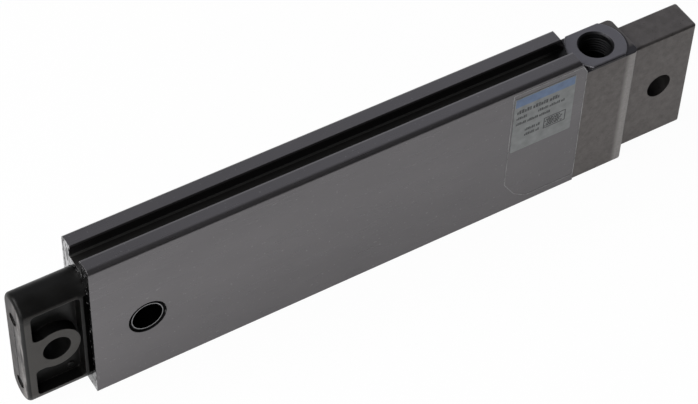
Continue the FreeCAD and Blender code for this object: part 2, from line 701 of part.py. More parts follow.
def make_plunger():
    """Moulded flat rod: eye and pockets at the outer end, a long slot for sleeve and spring, ribbed rails."""
    body = new_piece("plunger")
    outline = across(body, "plunger_section", x=f"-{PLUNGER_REACH}")
    oblong(outline, "dims.plunger_width", "dims.plunger_height")
    bar = pad(body, "plunger_bar", outline, f"{PISTON_FRONT} + {PLUNGER_REACH}")
    end_edges = edges_in_plane(bar.Shape, bar.Shape.BoundBox.XMin)
    round_edges(body, "plunger_end", bar, end_edges, "dims.plunger_end_radius")
    for name, height in (("upper_mark", "dims.end_mark_rise"), ("lower_mark", "-dims.end_mark_drop")):
        mark = across(body, f"{name}_circle", x=f"-{PLUNGER_REACH}", z=height)
        circle(mark, "dims.end_mark_diameter")
        pocket(body, name, mark, "dims.end_mark_depth", outward=True)

    half_pocket = f"{POCKET_HEIGHT} / 2"
    front_face = "-dims.plunger_width / 2"
    eye_pocket = side(body, "eye_pocket_outline", y=front_face)
    rectangle(eye_pocket, POCKET_START, RIB_FRONT, f"-{half_pocket}", half_pocket)
    eye_cut = pocket(body, "eye_pocket", eye_pocket, "dims.pocket_depth")
    mouth_pocket = side(body, "mouth_pocket_outline", y=front_face, x="-dims.mouth_rib_setback")
    rectangle(mouth_pocket, "0", "dims.mouth_pocket_length", f"-{half_pocket}", half_pocket)
    mouth_cut = pocket(body, "mouth_pocket", mouth_pocket, "dims.pocket_depth")
    mirror(body, "back_pockets", [eye_cut, mouth_cut], "XZ_Plane")

    half_web = "dims.eye_web_height / 2"
    web = rectangle(side(body, "eye_web_outline"), POCKET_START, EYE_PLACE, f"-{half_web}", half_web)
    pad(body, "eye_web", web, "dims.plunger_width", centred=True)
    boss = circle(side(body, "eye_boss_circle", x=EYE_PLACE), "dims.eye_boss_diameter")
    boss_ring = pad(body, "eye_boss", boss, "dims.plunger_width", centred=True)
    rib_front = -size("mouth_rib_setback") - size("mouth_rib_thickness")
    corners = straight_edges(boss_ring.Shape, Y_AXIS, lambda place: place.x < rib_front + NEAR)
    round_edges(body, "pocket_corners", boss_ring, corners, "dims.pocket_corner_radius")
    eye = circle(side(body, "eye_circle", x=EYE_PLACE), "dims.eye_diameter")
    pocket(body, "eye", eye, "dims.plunger_width", centred=True)

    half_slot = f"{SLOT_HEIGHT} / 2"
    slot_nose = circle(side(body, "slot_nose_circle", x="dims.sleeve_place"), SLOT_HEIGHT)
    pocket(body, "slot_nose", slot_nose, "dims.plunger_width", centred=True)
    slot = rectangle(side(body, "slot_outline"), "dims.sleeve_place", SLOT_REAR, f"-{half_slot}", half_slot)
    pocket(body, "slot", slot, "dims.plunger_width", centred=True)

    rail_pocket = side(body, "rail_pocket_outline", y=front_face, x=RAIL_START)
    rectangle(rail_pocket, "0", "dims.rail_pocket_length", f"{half_slot} + dims.rail_wall", half_pocket)
    rail_cut = pocket(body, "rail_pocket", rail_pocket, "dims.pocket_depth")
    repeat_rail_pockets(body, rail_cut)

    tail = circle(across(body, "tail_hole_circle", x=SLOT_REAR), "dims.guide_tail_diameter")
    pocket(body, "tail_hole", tail, "dims.guide_tail_length", outward=True)
    insert = across(body, "insert_hole_circle", x=PISTON_FRONT, z=SCREW_RISE)
    circle(insert, "dims.insert_diameter")
    insert_hole = pocket(body, "insert_hole", insert, "dims.insert_length")
    mirror(body, "insert_holes", [insert_hole], "XY_Plane")
    return body


def repeat_rail_pockets(body, feature):
    """Repeat one rail pocket along the rail, on the lower rail and on the back."""
    grid = body.newObject("PartDesign::MultiTransform", "rail_pockets")
    row = body.newObject("PartDesign::LinearPattern", "rail_row")
    row.Direction = (origin_feature(body, "X_Axis"), [""])
    row.Mode = "Spacing"
    row.setExpression("Offset", RAIL_PITCH)
    row.setExpression("Occurrences", f"floor(({RAIL_END} - {RAIL_START}) / {RAIL_PITCH})")
    steps = [row]
    for name, plane in (("rail_back", "XZ_Plane"), ("rail_lower", "XY_Plane")):
        flip = body.newObject("PartDesign::Mirrored", name)
        flip.MirrorPlane = (origin_feature(body, plane), [""])
        steps.append(flip)
    grid.Originals = [feature]
    grid.Transformations = steps
    body.Tip = grid
    doc.recompute()
    return grid


def make_spring_guide_pin():
    """Pin inside the spring: its flange seats the spring and its tail is pressed into the plunger."""
    body = new_piece("spring_guide_pin")
    shaft = circle(across(body, "shaft_circle", x=PIN_TIP), PIN_GUIDE_DIAMETER)
    pad(body, "shaft", shaft, f"{SLOT_REAR} - {PIN_TIP}")
    flange = circle(across(body, "flange_circle", x=SPRING_REAR), "dims.spring_diameter")
    pad(body, "flange", flange, "dims.guide_flange_thickness")
    tail = circle(across(body, "tail_circle", x=SLOT_REAR), "dims.guide_tail_diameter")
    pad(body, "tail", tail, "dims.guide_tail_length")
    return body


def make_screw_inserts():
    """Two brass inserts in the plunger's rear face."""
    body = new_piece("screw_inserts", several=True)
    ring = across(body, "insert_section", x=f"{PISTON_FRONT} - dims.insert_length", z=SCREW_RISE)
    circle(ring, "dims.insert_diameter")
    circle(ring, "dims.screw_diameter")
    insert = pad(body, "insert", ring, "dims.insert_length")
    mirror(body, "inserts", [insert], "XY_Plane")
    return body


def make_piston_head():
    """Oblong head on the plunger's rear face: band groove, magnet pocket and a seat for the seal."""
    body = new_piece("piston_head")
    outline = oblong(across(body, "head_section", x=PISTON_FRONT), PISTON_WIDTH, PISTON_HEIGHT)
    pad(body, "head", outline, "dims.piston_length - dims.seal_length")
    seat = oblong(across(body, "seal_seat_section", x=SEAL_FRONT), SEAT_WIDTH, SEAT_HEIGHT)
    pad(body, "seal_seat", seat, "dims.seal_length")
    groove = across(body, "band_groove_section", x=f"{PISTON_FRONT} + dims.band_distance")
    oblong(groove, BORE_WIDTH, BORE_HEIGHT)
    oblong(groove, BAND_SEAT_WIDTH, BAND_SEAT_HEIGHT)
    pocket(body, "band_groove", groove, "dims.band_length", outward=True)
    magnet = across(body, "magnet_pocket_outline", x=PISTON_FRONT, z=MAGNET_RISE)
    centred_rectangle(magnet, "dims.magnet_width", "dims.magnet_height")
    pocket(body, "magnet_pocket", magnet, "dims.magnet_length", outward=True)
    hole = circle(across(body, "screw_hole_circle", x=PISTON_FRONT, z=SCREW_RISE), SCREW_HOLE)
    screw_hole = pocket(body, "screw_hole", hole, "dims.piston_length", outward=True)
    mirror(body, "screw_holes", [screw_hole], "XY_Plane")
    return body


def make_piston_guide_band():
    """Wear band round the piston head."""
    body = new_piece("piston_guide_band")
    ring = across(body, "band_section", x=f"{PISTON_FRONT} + dims.band_distance")
    oblong(ring, RUNNING_WIDTH, RUNNING_HEIGHT)
    oblong(ring, BAND_SEAT_WIDTH, BAND_SEAT_HEIGHT)
    pad(body, "band", ring, "dims.band_length")
    return body


def make_piston_seal():
    """Oblong cup seal with its groove to the pressure side."""
    body = new_piece("piston_seal")
    ring = across(body, "seal_section", x=SEAL_FRONT)
    oblong(ring, RUNNING_WIDTH, RUNNING_HEIGHT)
    oblong(ring, SEAT_WIDTH, SEAT_HEIGHT)
    pad(body, "seal", ring, "dims.seal_length")
    middle_width = f"(({RUNNING_WIDTH} + {SEAT_WIDTH}) / 2)"
    middle_height = f"(({RUNNING_HEIGHT} + {SEAT_HEIGHT}) / 2)"
    lip = across(body, "lip_groove_section", x=RETAINER_FRONT)
    oblong(lip, f"({middle_width} + dims.seal_lip_gap)", f"({middle_height} + dims.seal_lip_gap)")
    oblong(lip, f"({middle_width} - dims.seal_lip_gap)", f"({middle_height} - dims.seal_lip_gap)")
    pocket(body, "lip_groove", lip, "dims.seal_lip_depth")
    return body


def make_magnet():
    """Bar magnet in the head, close under the sensor slot."""
    body = new_piece("magnet")
    outline = across(body, "magnet_outline", x=PISTON_FRONT, z=MAGNET_RISE)
    centred_rectangle(outline, "dims.magnet_width", "dims.magnet_height")
    pad(body, "magnet_bar", outline, "dims.magnet_length")
    return body


def make_seal_retainer():
    """Plate that clamps the seal, counterbored for the heads of the two screws."""
    body = new_piece("seal_retainer")
    outline = oblong(
        across(body, "retainer_outline", x=RETAINER_FRONT),
        f"({PISTON_WIDTH} - 2 * dims.retainer_inset)",
        f"({PISTON_HEIGHT} - 2 * dims.retainer_inset)",
    )
    pad(body, "retainer", outline, "dims.retainer_thickness")
    thickness = "dims.retainer_thickness"
    profile = screw_profile(body, "retainer_hole_profile", thickness, "dims.screw_clearance")
    hole = turn_away(body, "retainer_hole", profile)
    mirror(body, "retainer_holes", [hole], "XY_Plane")
    return body


def screw_profile(body, name, length, clearance):
    """Half the outline of a flat-headed screw, its head flush with the retainer's rear face."""
    head = f"dims.screw_head_diameter / 2 + {clearance}"
    shank = f"dims.screw_diameter / 2 + {clearance}"
    head_length = "dims.screw_head_length"
    return polygon(
        side(body, name, x=RETAINER_REAR, z=SCREW_RISE),
        [
            ("0", "0"),
            ("0", head),
            (f"-{head_length}", head),
            (f"-{head_length}", shank),
            (f"-({length})", shank),
            (f"-({length})", "0"),
        ],
    )


def make_piston_screws():
    """Two flat-headed screws through retainer and head into the inserts."""
    body = new_piece("piston_screws", several=True)
    reach = "dims.retainer_thickness + dims.piston_length + dims.insert_length - dims.screw_tip_gap"
    screw = turn(body, "screw", screw_profile(body, "screw_outline", reach, "0"))
    mirror(body, "screws", [screw], "XY_Plane")
    return body


def check_document():
    """Stop if any object failed or any piece has no valid shape."""
    for item in doc.Objects:
        if "Invalid" in item.State or "Error" in item.State:
            raise RuntimeError(f"{item.Label} failed: {item.State}")
        if item.TypeId == "Sketcher::SketchObject" and not item.FullyConstrained:
            raise RuntimeError(f"{item.Label} is not fully constrained")
    for piece in pieces:
        if piece.Shape.isNull() or not piece.Shape.isValid():
            raise RuntimeError(f"{piece.Label} has no valid shape")


def write_pieces():
    """Write each piece to a file named by its label."""
    os.makedirs("parts", exist_ok=True)
    for piece in pieces:
        piece.Shape.exportStep(f"parts/{piece.Label}.step")


make_barrel()
make_end_cap()
make_cap_seal()
make_cap_pins()
make_rear_bumper()
make_mounting_sleeve()
make_spring_saddle()
make_stop_buffer()
make_spring_washer()
make_return_spring()
make_plunger()
make_spring_guide_pin()
make_screw_inserts()
make_piston_head()
make_piston_guide_band()
make_piston_seal()
make_magnet()
make_seal_retainer()
make_piston_screws()
doc.recompute()
check_document()
write_pieces()
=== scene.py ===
"""Finishes, label, film edge, port thread, spring, moulding marks and studio of a flat air cylinder."""

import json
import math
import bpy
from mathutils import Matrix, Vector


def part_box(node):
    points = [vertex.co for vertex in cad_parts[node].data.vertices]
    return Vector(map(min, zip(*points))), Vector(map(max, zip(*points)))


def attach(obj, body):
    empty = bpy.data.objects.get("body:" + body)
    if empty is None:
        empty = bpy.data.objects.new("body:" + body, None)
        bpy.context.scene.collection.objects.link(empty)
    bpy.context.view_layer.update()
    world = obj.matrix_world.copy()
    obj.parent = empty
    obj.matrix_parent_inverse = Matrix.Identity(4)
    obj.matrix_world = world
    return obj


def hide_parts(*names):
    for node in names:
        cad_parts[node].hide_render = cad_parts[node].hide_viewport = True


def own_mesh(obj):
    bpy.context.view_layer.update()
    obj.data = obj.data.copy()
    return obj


bl_info = {
    "name": "Flat air cylinder",
    "version": (1, 0, 0),
    "blender": (4, 5, 0),
    "location": "3D View > Sidebar > Air cylinder",
    "description": "Dresses the solids of a flat air cylinder and sets up its studio",
    "category": "Object",
}

import bmesh
import bpy
from bpy.props import FloatProperty, FloatVectorProperty, IntProperty, PointerProperty
from bpy.types import NodeSocket, Operator, Panel, PropertyGroup
from mathutils import Matrix, Vector

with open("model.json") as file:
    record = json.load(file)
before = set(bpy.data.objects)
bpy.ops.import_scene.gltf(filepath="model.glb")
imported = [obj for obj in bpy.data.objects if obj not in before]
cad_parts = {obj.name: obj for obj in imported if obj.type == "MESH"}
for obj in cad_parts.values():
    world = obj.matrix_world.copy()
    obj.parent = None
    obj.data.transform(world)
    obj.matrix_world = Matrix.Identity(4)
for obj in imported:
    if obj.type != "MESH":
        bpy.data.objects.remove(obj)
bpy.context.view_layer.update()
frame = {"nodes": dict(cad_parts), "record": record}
MOUNTS = {mount["name"]: mount for mount in frame["record"]["mounts"]}


def bore(mount_name):
    """Middle and radius of a round mount, in metres."""
    mount = MOUNTS[mount_name]
    return Vector(mount["pos_m"]), mount["dims"]["r_mm"] / 1000


# Bodies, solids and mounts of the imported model
HOUSING = "housing"
PLUNGER_UNIT = "plunger_unit"
BARREL_LOW, BARREL_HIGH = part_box("barrel")
PLUNGER_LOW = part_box("plunger")[0]
SPRING_LOW, SPRING_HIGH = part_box("return_spring")
CAP_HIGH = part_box("end_cap")[1]
PORT_MIDDLE, PORT_RADIUS = bore("air_port")
SLEEVE_MIDDLE, SLEEVE_RADIUS = bore("front_mounting_bore")
LUG_MIDDLE, LUG_RADIUS = bore("rear_lug_bore")
EYE_MIDDLE = bore("rod_eye_bore")[0]

# Places on the solids where a finish changes or a piece sits, in metres
HOLE_RELIEF = SLEEVE_RADIUS + 0.00115
BOSS_RADIUS = 0.00875
CAP_REAR = BARREL_HIGH.x + 0.0175
CAP_TOP = CAP_HIGH.z - 0.0009
SLOT_FLOOR = MOUNTS["sensor_slot"]["pos_m"][2]
SLOT_EDGE = 0.0034
SLOT_MOUTH = 0.0028
POCKET_FLOOR = Vector((-0.0900, -0.0016, 0.0083))

# Width over which a painted border usually fades, and the unit of its offsets, in metres
FADE = 0.0001

# Directions, the stretch of a grain that is drawn out along none of them, and the stage's white
ALONG = Vector((1.0, 0.0, 0.0))
ACROSS = Vector((0.0, 1.0, 0.0))
UPWARD = Vector((0.0, 0.0, 1.0))
EVENLY = Vector((1.0, 1.0, 1.0))
WHITE = (1.0, 1.0, 1.0)

# Rows of print on the label: drop from its top, height, and both ends from its left edge, in metres
PRINT_ROWS = (
    (0.0048, 0.0014, 0.0010, 0.0152),
    (0.0074, 0.0010, 0.0010, 0.0048),
    (0.0074, 0.0010, 0.0080, 0.0172),
    (0.0096, 0.0010, 0.0010, 0.0122),
    (0.0130, 0.0010, 0.0042, 0.0096),
    (0.0150, 0.0010, 0.0042, 0.0090),
)

# Kinds of the shared node groups' sockets that aren't plain values
SOCKET_KINDS = {
    "Light": "NodeSocketColor",
    "Dark": "NodeSocketColor",
    "Tone": "NodeSocketColor",
    "Stretch": "NodeSocketVector",
    "Direction": "NodeSocketVector",
    "Normal": "NodeSocketVector",
}


def colour(name, description, default):
    """A colour that the user may change."""
    return FloatVectorProperty(
        name=name, description=description, default=default, subtype="COLOR", size=3, min=0.0, max=1.0
    )


def length(name, description, default):
    """A length that the user may change, in metres."""
    return FloatProperty(name=name, description=description, default=default, unit="LENGTH", precision=5)


def angle(name, description, degrees):
    """An angle that the user may change."""
    return FloatProperty(name=name, description=description, default=math.radians(degrees), subtype="ANGLE")


def power(name, description, default):
    """A lamp's power that the user may change, in watts."""
    return FloatProperty(name=name, description=description, default=default, unit="POWER")


class FinishSettings(PropertyGroup):
    """Colours of the cylinder's materials."""

    barrel_light: colour("Barrel light", "Lighter tone of the anodised barrel", (0.167, 0.160, 0.165))
    barrel_dark: colour("Barrel dark", "Darker tone of the anodised barrel", (0.154, 0.148, 0.153))
    # Painted shade in the sensor slot and the cross hole; the same colour is the real dark chips and burred
    # edges of the sawn ends
    slot_shade_and_chips: colour("Slot", "Dull sensor slot and cross hole", (0.020, 0.0195, 0.0195))
    # Painted highlight along the front rib's slot edge; the same colour is the real dust specks
    rib_highlight_and_dust: colour("Rib edge", "Rubbed edge of the front rib, and dust", (0.27, 0.262, 0.265))
    # Painted shade on the slot's floor, lighter than the rest of the slot's painted shade
    slot_floor_shade: colour("Slot floor", "Worn floor of the sensor slot", (0.085, 0.083, 0.080))
    # Painted highlight: a pale line on the slot's floor along the back rib's lip
    slot_floor_highlight: colour("Slot line", "Rubbed line along the slot's floor", (0.24, 0.24, 0.23))
    cut_metal: colour("Cut metal", "Bare metal of sawn ends and worn edges", (0.60, 0.60, 0.608))
    cut_dull: colour("Dull cut", "Smeared streaks on the sawn barrel ends", (0.16, 0.16, 0.163))
    cap_light: colour("Cap light", "Lighter tone of the coated casting", (0.163, 0.151, 0.145))
    cap_dark: colour("Cap dark", "Darker tone of the coated casting", (0.127, 0.117, 0.112))
    cap_pit: colour("Cap pits", "Pits in the coated casting", (0.06, 0.056, 0.053))
    machined_cap: colour("Machined cap", "Turned top of the port boss", (0.182, 0.178, 0.194))
    # Painted shade on the cap's top and the boss's side round the boss's foot
    boss_foot_shade: colour("Cap grime", "Dark top of the cap round the boss", (0.048, 0.046, 0.050))
    # Painted highlight on the cap's rounded corners beside the lug
    cap_corner_highlight: colour("Burnished cap", "Rubbed corners of the cap beside the lug", (0.340, 0.326, 0.316))
    # Painted shade on the chamfer round the air port
    port_chamfer_shade: colour("Port mouth", "Dull chamfer round the air port", (0.025, 0.0245, 0.027))
    # Painted shade inside the air port and its thread, and weaker in the lug bore
    bore_shade: colour("Port", "Oiled inside of the air port", (0.012, 0.012, 0.013))
    plastic: colour("Plastic", "Black moulding of the plunger", (0.0045, 0.0044, 0.0042))
    scuffed_plastic: colour("Scuffed plastic", "Rubbed eye and edges of the plunger", (0.056, 0.053, 0.049))
    chalky_plastic: colour("Chalky plastic", "Specks on the plunger's end face", (0.105, 0.090, 0.085))
    # Painted highlight in streaks on the front half of the plunger's end face
    end_face_highlight: colour("Whitened plastic", "Scraped front half of that face", (0.210, 0.198, 0.191))
    steel: colour("Steel", "Pins, washer, spring and screws", (0.55, 0.55, 0.56))
    sleeve_rim: colour("Sleeve rim", "Turned ends of the mounting sleeve", (0.36, 0.36, 0.365))
    sleeve_dull: colour("Dull rim", "Darker patches on the sleeve's ends", (0.24, 0.24, 0.245))
    # Painted shade in the sleeve's bore and on the outer band of its ends
    sleeve_shade: colour("Sleeve bore", "Oiled inside of the mounting sleeve", (0.018, 0.018, 0.019))
    rubber: colour("Rubber", "Seals and buffers", (0.016, 0.016, 0.016))
    white_plastic: colour("White plastic", "Guide band and spring saddle", (0.70, 0.69, 0.66))
    turned_metal: colour("Turned metal", "Piston head and seal retainer", (0.60, 0.60, 0.61))
    brass: colour("Brass", "Screw inserts", (0.60, 0.45, 0.18))
    magnet: colour("Magnet", "Sintered magnet", (0.070, 0.070, 0.075))
    label_grey: colour("Label", "Face of the rating label", (0.240, 0.251, 0.249))
    label_blue: colour("Label band", "Coloured band along the label's top", (0.126, 0.193, 0.325))
    label_ink: colour("Label ink", "Print on the label", (0.052, 0.053, 0.056))
    # Painted highlight: the pale stretches of the opaque strip that stands for the clear film's cut edge
    film_edge_glint: colour("Film light", "Pale stretches of the clear film's cut edge", (0.33, 0.325, 0.325))
    film_dark: colour("Film dark", "Dull stretches of the clear film's cut edge", (0.13, 0.127, 0.13))


class DetailSettings(PropertyGroup):
    """Sizes of the pieces that the solids leave out."""

    label_inset: length("Label inset", "From the barrel's rear end to the label's left edge", 0.0235)
    label_width: length("Label width", "Length of the label along the barrel", 0.0198)
    label_low: length("Label foot", "Height of the label's lower edge", 0.02385)
    label_height: length("Label height", "Height of the label", 0.02095)
    label_thickness: length("Label thickness", "Thickness of the label", 0.00010)
    band_height: length("Band height", "Height of the label's coloured band", 0.0034)
    film_inset: length("Film inset", "From the barrel's rear end to the film's left edge", 0.0242)
    film_low: length("Film foot", "Height of the film's lower edge", 0.0027)
    film_top: length("Film top", "Height of the film's upper edge", 0.0466)
    film_border: length("Film border", "Width of the film's pale cut edge", 0.00025)
    film_thickness: length("Film thickness", "Thickness of the clear film", 0.00006)
    thread_pitch: length("Thread pitch", "Pitch of the port's pipe thread", 0.000907)
    thread_depth: length("Thread depth", "Height of the port's thread ridge", 0.00032)
    spring_wire: length("Spring wire", "Diameter of the spring's wire", 0.00095)
    spring_turns: IntProperty(
        name="Spring turns", description="Turns of the return spring", default=19, min=4
    )
    ejector_radius: length("Ejector mark", "Radius of the ejector mark in the plunger's pocket", 0.0012)
    parting_width: length("Parting line", "Width of the parting line on the plunger's end", 0.00022)


class StageSettings(PropertyGroup):
    """Camera, light and floor."""

    azimuth: angle("Azimuth", "Camera's place round the object", -32.7784)
    elevation: angle("Elevation", "Camera's height above the horizon", 48.7426)
    roll: angle("Roll", "Camera's turn about its own line of sight", 2.4199)
    distance: length("Distance", "Camera's distance from the point it looks at", 0.633888)
    aim: FloatVectorProperty(
        name="Aim", description="Point that the camera looks at", default=(-0.004410, 0.001496, 0.020694),
        subtype="TRANSLATION", unit="LENGTH", precision=5,
    )
    focal_length: FloatProperty(
        name="Focal length", description="Camera's focal length in millimetres", default=121.44,
        unit="CAMERA",
    )
    key_power: power("Key power", "Power of the soft lamp above the left end", 9.0)
    fill_power: power("Fill power", "Power of the soft lamp in front", 1.9)
    sky_bright: colour("Bright sky", "Light from above and behind", (0.50, 0.51, 0.55))
    sky_dark: colour("Dark sky", "Light from above the camera", (0.04, 0.04, 0.043))
    floor_paper: colour("Floor", "Paper of the floor", (0.92, 0.92, 0.92))
    # Painted reflection: the floor's colour well before the part, in glossy rays only
    floor_reflection_dark: colour("Dark floor", "Floor well before the part, as metal mirrors it", (0.02, 0.02, 0.02))


def feed(tree, node, sources):
    """Set a node's inputs by name or number, or link them. A colour may come without its alpha."""
    for name, value in sources.items():
        socket = node.inputs[name]
        if isinstance(value, NodeSocket):
            tree.links.new(value, socket)
        elif socket.type == "RGBA":
            socket.default_value = (*value[:3], 1.0)
        else:
            socket.default_value = value


def add_node(tree, kind, sources=None, **attributes):
    """Add a shader node, set its attributes and feed its inputs."""
    node = tree.nodes.new(kind)
    for name, value in attributes.items():
        setattr(node, name, value)
    feed(tree, node, sources or {})
    return node


def add_math(tree, operation, *values):
    """Add a chain of one operation, each result held between 0 and 1, and give the last result."""
    result = values[0]
    for value in values[1:]:
        step = add_node(tree, "ShaderNodeMath", {0: result, 1: value}, operation=operation, use_clamp=True)
        result = step.outputs[0]
    return result


def product(tree, *values):
    """Add the product of masks and shares and give it."""
    return add_math(tree, "MULTIPLY", *values)


def add_size(tree, value):
    """Add the size of a value without its sign."""
    return add_node(tree, "ShaderNodeMath", {0: value}, operation="ABSOLUTE").outputs[0]


def add_vector_math(tree, operation, first, second):
    """Add an operation on two vectors and give its outputs."""
    return add_node(tree, "ShaderNodeVectorMath", {0: first, 1: second}, operation=operation).outputs


def add_range(tree, value, low, high, least=0.0, most=1.0):
    """Add a mapping from one range of values to another and give its result."""
    sources = {"Value": value, "From Min": low, "From Max": high, "To Min": least, "To Max": most}
    return add_node(tree, "ShaderNodeMapRange", sources).outputs["Result"]


def add_spread(tree, grain, least=0.0, most=1.0):
    """Spread the usual range of a grain over another range and give the result."""
    return add_range(tree, grain, 0.3, 0.7, least, most)


def add_mix(tree, factor, first, second):
    """Add a mix of two colours and give its result. A mix node's colours are inputs 6 and 7, output 2."""
    sources = {0: factor, 6: first, 7: second}
    return add_node(tree, "ShaderNodeMix", sources, data_type="RGBA").outputs[2]


def paint(tree, tone, *layers):
    """Lay further tones over a tone, each through its own mask, and give the result."""
    for mask, layer in layers:
        tone = add_mix(tree, mask, tone, layer)
    return tone


def add_parts(tree, kind="Object"):
    """Add the place of a point and give its three parts."""
    place = add_node(tree, "ShaderNodeTexCoord").outputs[kind]
    return add_node(tree, "ShaderNodeSeparateXYZ", {0: place}).outputs


def add_axis_distance(tree, middle, axis):
    """Add the distance from a line that runs through a point along an axis, and give it."""
    square = EVENLY - axis
    place = add_node(tree, "ShaderNodeTexCoord").outputs["Object"]
    flat = add_vector_math(tree, "MULTIPLY", place, square)["Vector"]
    return add_vector_math(tree, "DISTANCE", flat, middle * square)["Value"]


def add_socket(group, name, side):
    """Give a node group a named input or output."""
    kind = SOCKET_KINDS.get(name, "NodeSocketFloat")
    return group.interface.new_socket(name, in_out=side, socket_type=kind)


def place_group(tree, name, build, inputs, outputs):
    """Place a shared node group, which is built when it is first asked for, and give its outputs."""
    group = bpy.data.node_groups.get(name)
    if group is None:
        group = bpy.data.node_groups.new(name, "ShaderNodeTree")
        for socket_name, value in inputs.items():
            socket = add_socket(group, socket_name, "INPUT")
            if not isinstance(value, NodeSocket):
                socket.default_value = value
        for socket_name in outputs:
            add_socket(group, socket_name, "OUTPUT")
        entry = group.nodes.new("NodeGroupInput")
        leave = group.nodes.new("NodeGroupOutput")
        feed(group, leave, build(group, entry.outputs))
    return add_node(tree, "ShaderNodeGroup", inputs, node_tree=group).outputs


def build_grain(tree, entry):
    """Nodes of the grain group."""
    place = add_node(tree, "ShaderNodeTexCoord").outputs["Object"]
    drawn = add_vector_math(tree, "MULTIPLY", place, entry["Stretch"])["Vector"]
    rate = add_node(tree, "ShaderNodeMath", {0: 1.0, 1: entry["Grain Size"]}, operation="DIVIDE").outputs[0]
    sources = {"Vector": drawn, "Scale": rate, "Detail": entry["Detail"]}
    return {"Grain": add_node(tree, "ShaderNodeTexNoise", sources).outputs["Fac"]}


def add_grain(tree, size, stretch=EVENLY, detail=3.0):
    """Noise from 0 to 1 with grains of a real size, drawn out along an axis whose stretch is small."""
    inputs = {"Grain Size": size, "Stretch": stretch, "Detail": detail}
    return place_group(tree, "Grain", build_grain, inputs, ("Grain",))["Grain"]


def build_tone(tree, entry):
    """Nodes of the mottled tone group."""
    share = add_spread(tree, add_grain(tree, entry["Patch Size"], entry["Stretch"], detail=4.0))
    return {"Tone": add_mix(tree, share, entry["Dark"], entry["Light"])}


def add_tone(tree, light, dark, patch_size, stretch=EVENLY):
    """Two tones that meet in soft patches of a real size."""
    inputs = {"Light": (*light, 1.0), "Dark": (*dark, 1.0), "Patch Size": patch_size, "Stretch": stretch}
    return place_group(tree, "Mottled tone", build_tone, inputs, ("Tone",))["Tone"]


def build_specks(tree, entry):
    """Nodes of the speck group."""
    grain = add_grain(tree, entry["Speck Size"], detail=2.0)
    full = add_math(tree, "ADD", entry["Level"], 0.06)
    return {"Mask": add_range(tree, grain, entry["Level"], full)}


def add_specks(tree, size, level):
    """Scattered specks of a real size: the mask is 1 on a speck, and a higher level leaves fewer."""
    inputs = {"Speck Size": size, "Level": level}
    return place_group(tree, "Specks", build_specks, inputs, ("Mask",))["Mask"]


def build_edge(tree, entry):
    """Nodes of the rubbed edge group."""
    soft = add_node(tree, "ShaderNodeBevel", {"Radius": entry["Width"]}, samples=6).outputs["Normal"]
    flat = add_node(tree, "ShaderNodeNewGeometry").outputs["Normal"]
    likeness = add_vector_math(tree, "DOT_PRODUCT", soft, flat)["Value"]
    turned = add_range(tree, likeness, 0.995, 0.90)
    broken = add_range(tree, add_grain(tree, entry["Patch Size"]), 0.35, 0.62)
    return {"Mask": product(tree, turned, broken, entry["Amount"]), "Normal": soft}


def add_edge(tree, width, patch_size, amount):
    """Rubbed edges: a broken mask along them, and the normal that softens them."""
    inputs = {"Width": width, "Patch Size": patch_size, "Amount": amount}
    outputs = place_group(tree, "Rubbed edge", build_edge, inputs, ("Mask", "Normal"))
    return outputs["Mask"], outputs["Normal"]


def build_facing(tree, entry):
    """Nodes of the facing group."""
    normal = add_node(tree, "ShaderNodeTexCoord").outputs["Normal"]
    along = add_vector_math(tree, "DOT_PRODUCT", normal, entry["Direction"])["Value"]
    return {"Mask": add_range(tree, add_size(tree, along), 0.93, 0.98)}


def add_facing(tree, direction):
    """Faces square to a direction, on either side: the mask is 1 there."""
    return place_group(tree, "Facing", build_facing, {"Direction": direction}, ("Mask",))["Mask"]


def new_material(name, metallic=0.0):
    """Make a material and give it with its node tree and its shader."""
    material = bpy.data.materials.new(name)
    material.use_nodes = True
    shader = material.node_tree.nodes["Principled BSDF"]
    shader.inputs["Metallic"].default_value = metallic
    return material, material.node_tree, shader


def add_bump(tree, height, depth, strength, normal=None):
    """Raise the surface by a height mask, on top of a softened normal where there is one."""
    sources = {"Height": height, "Distance": depth, "Strength": strength}
    if normal is not None:
        sources["Normal"] = normal
    return add_node(tree, "ShaderNodeBump", sources).outputs["Normal"]


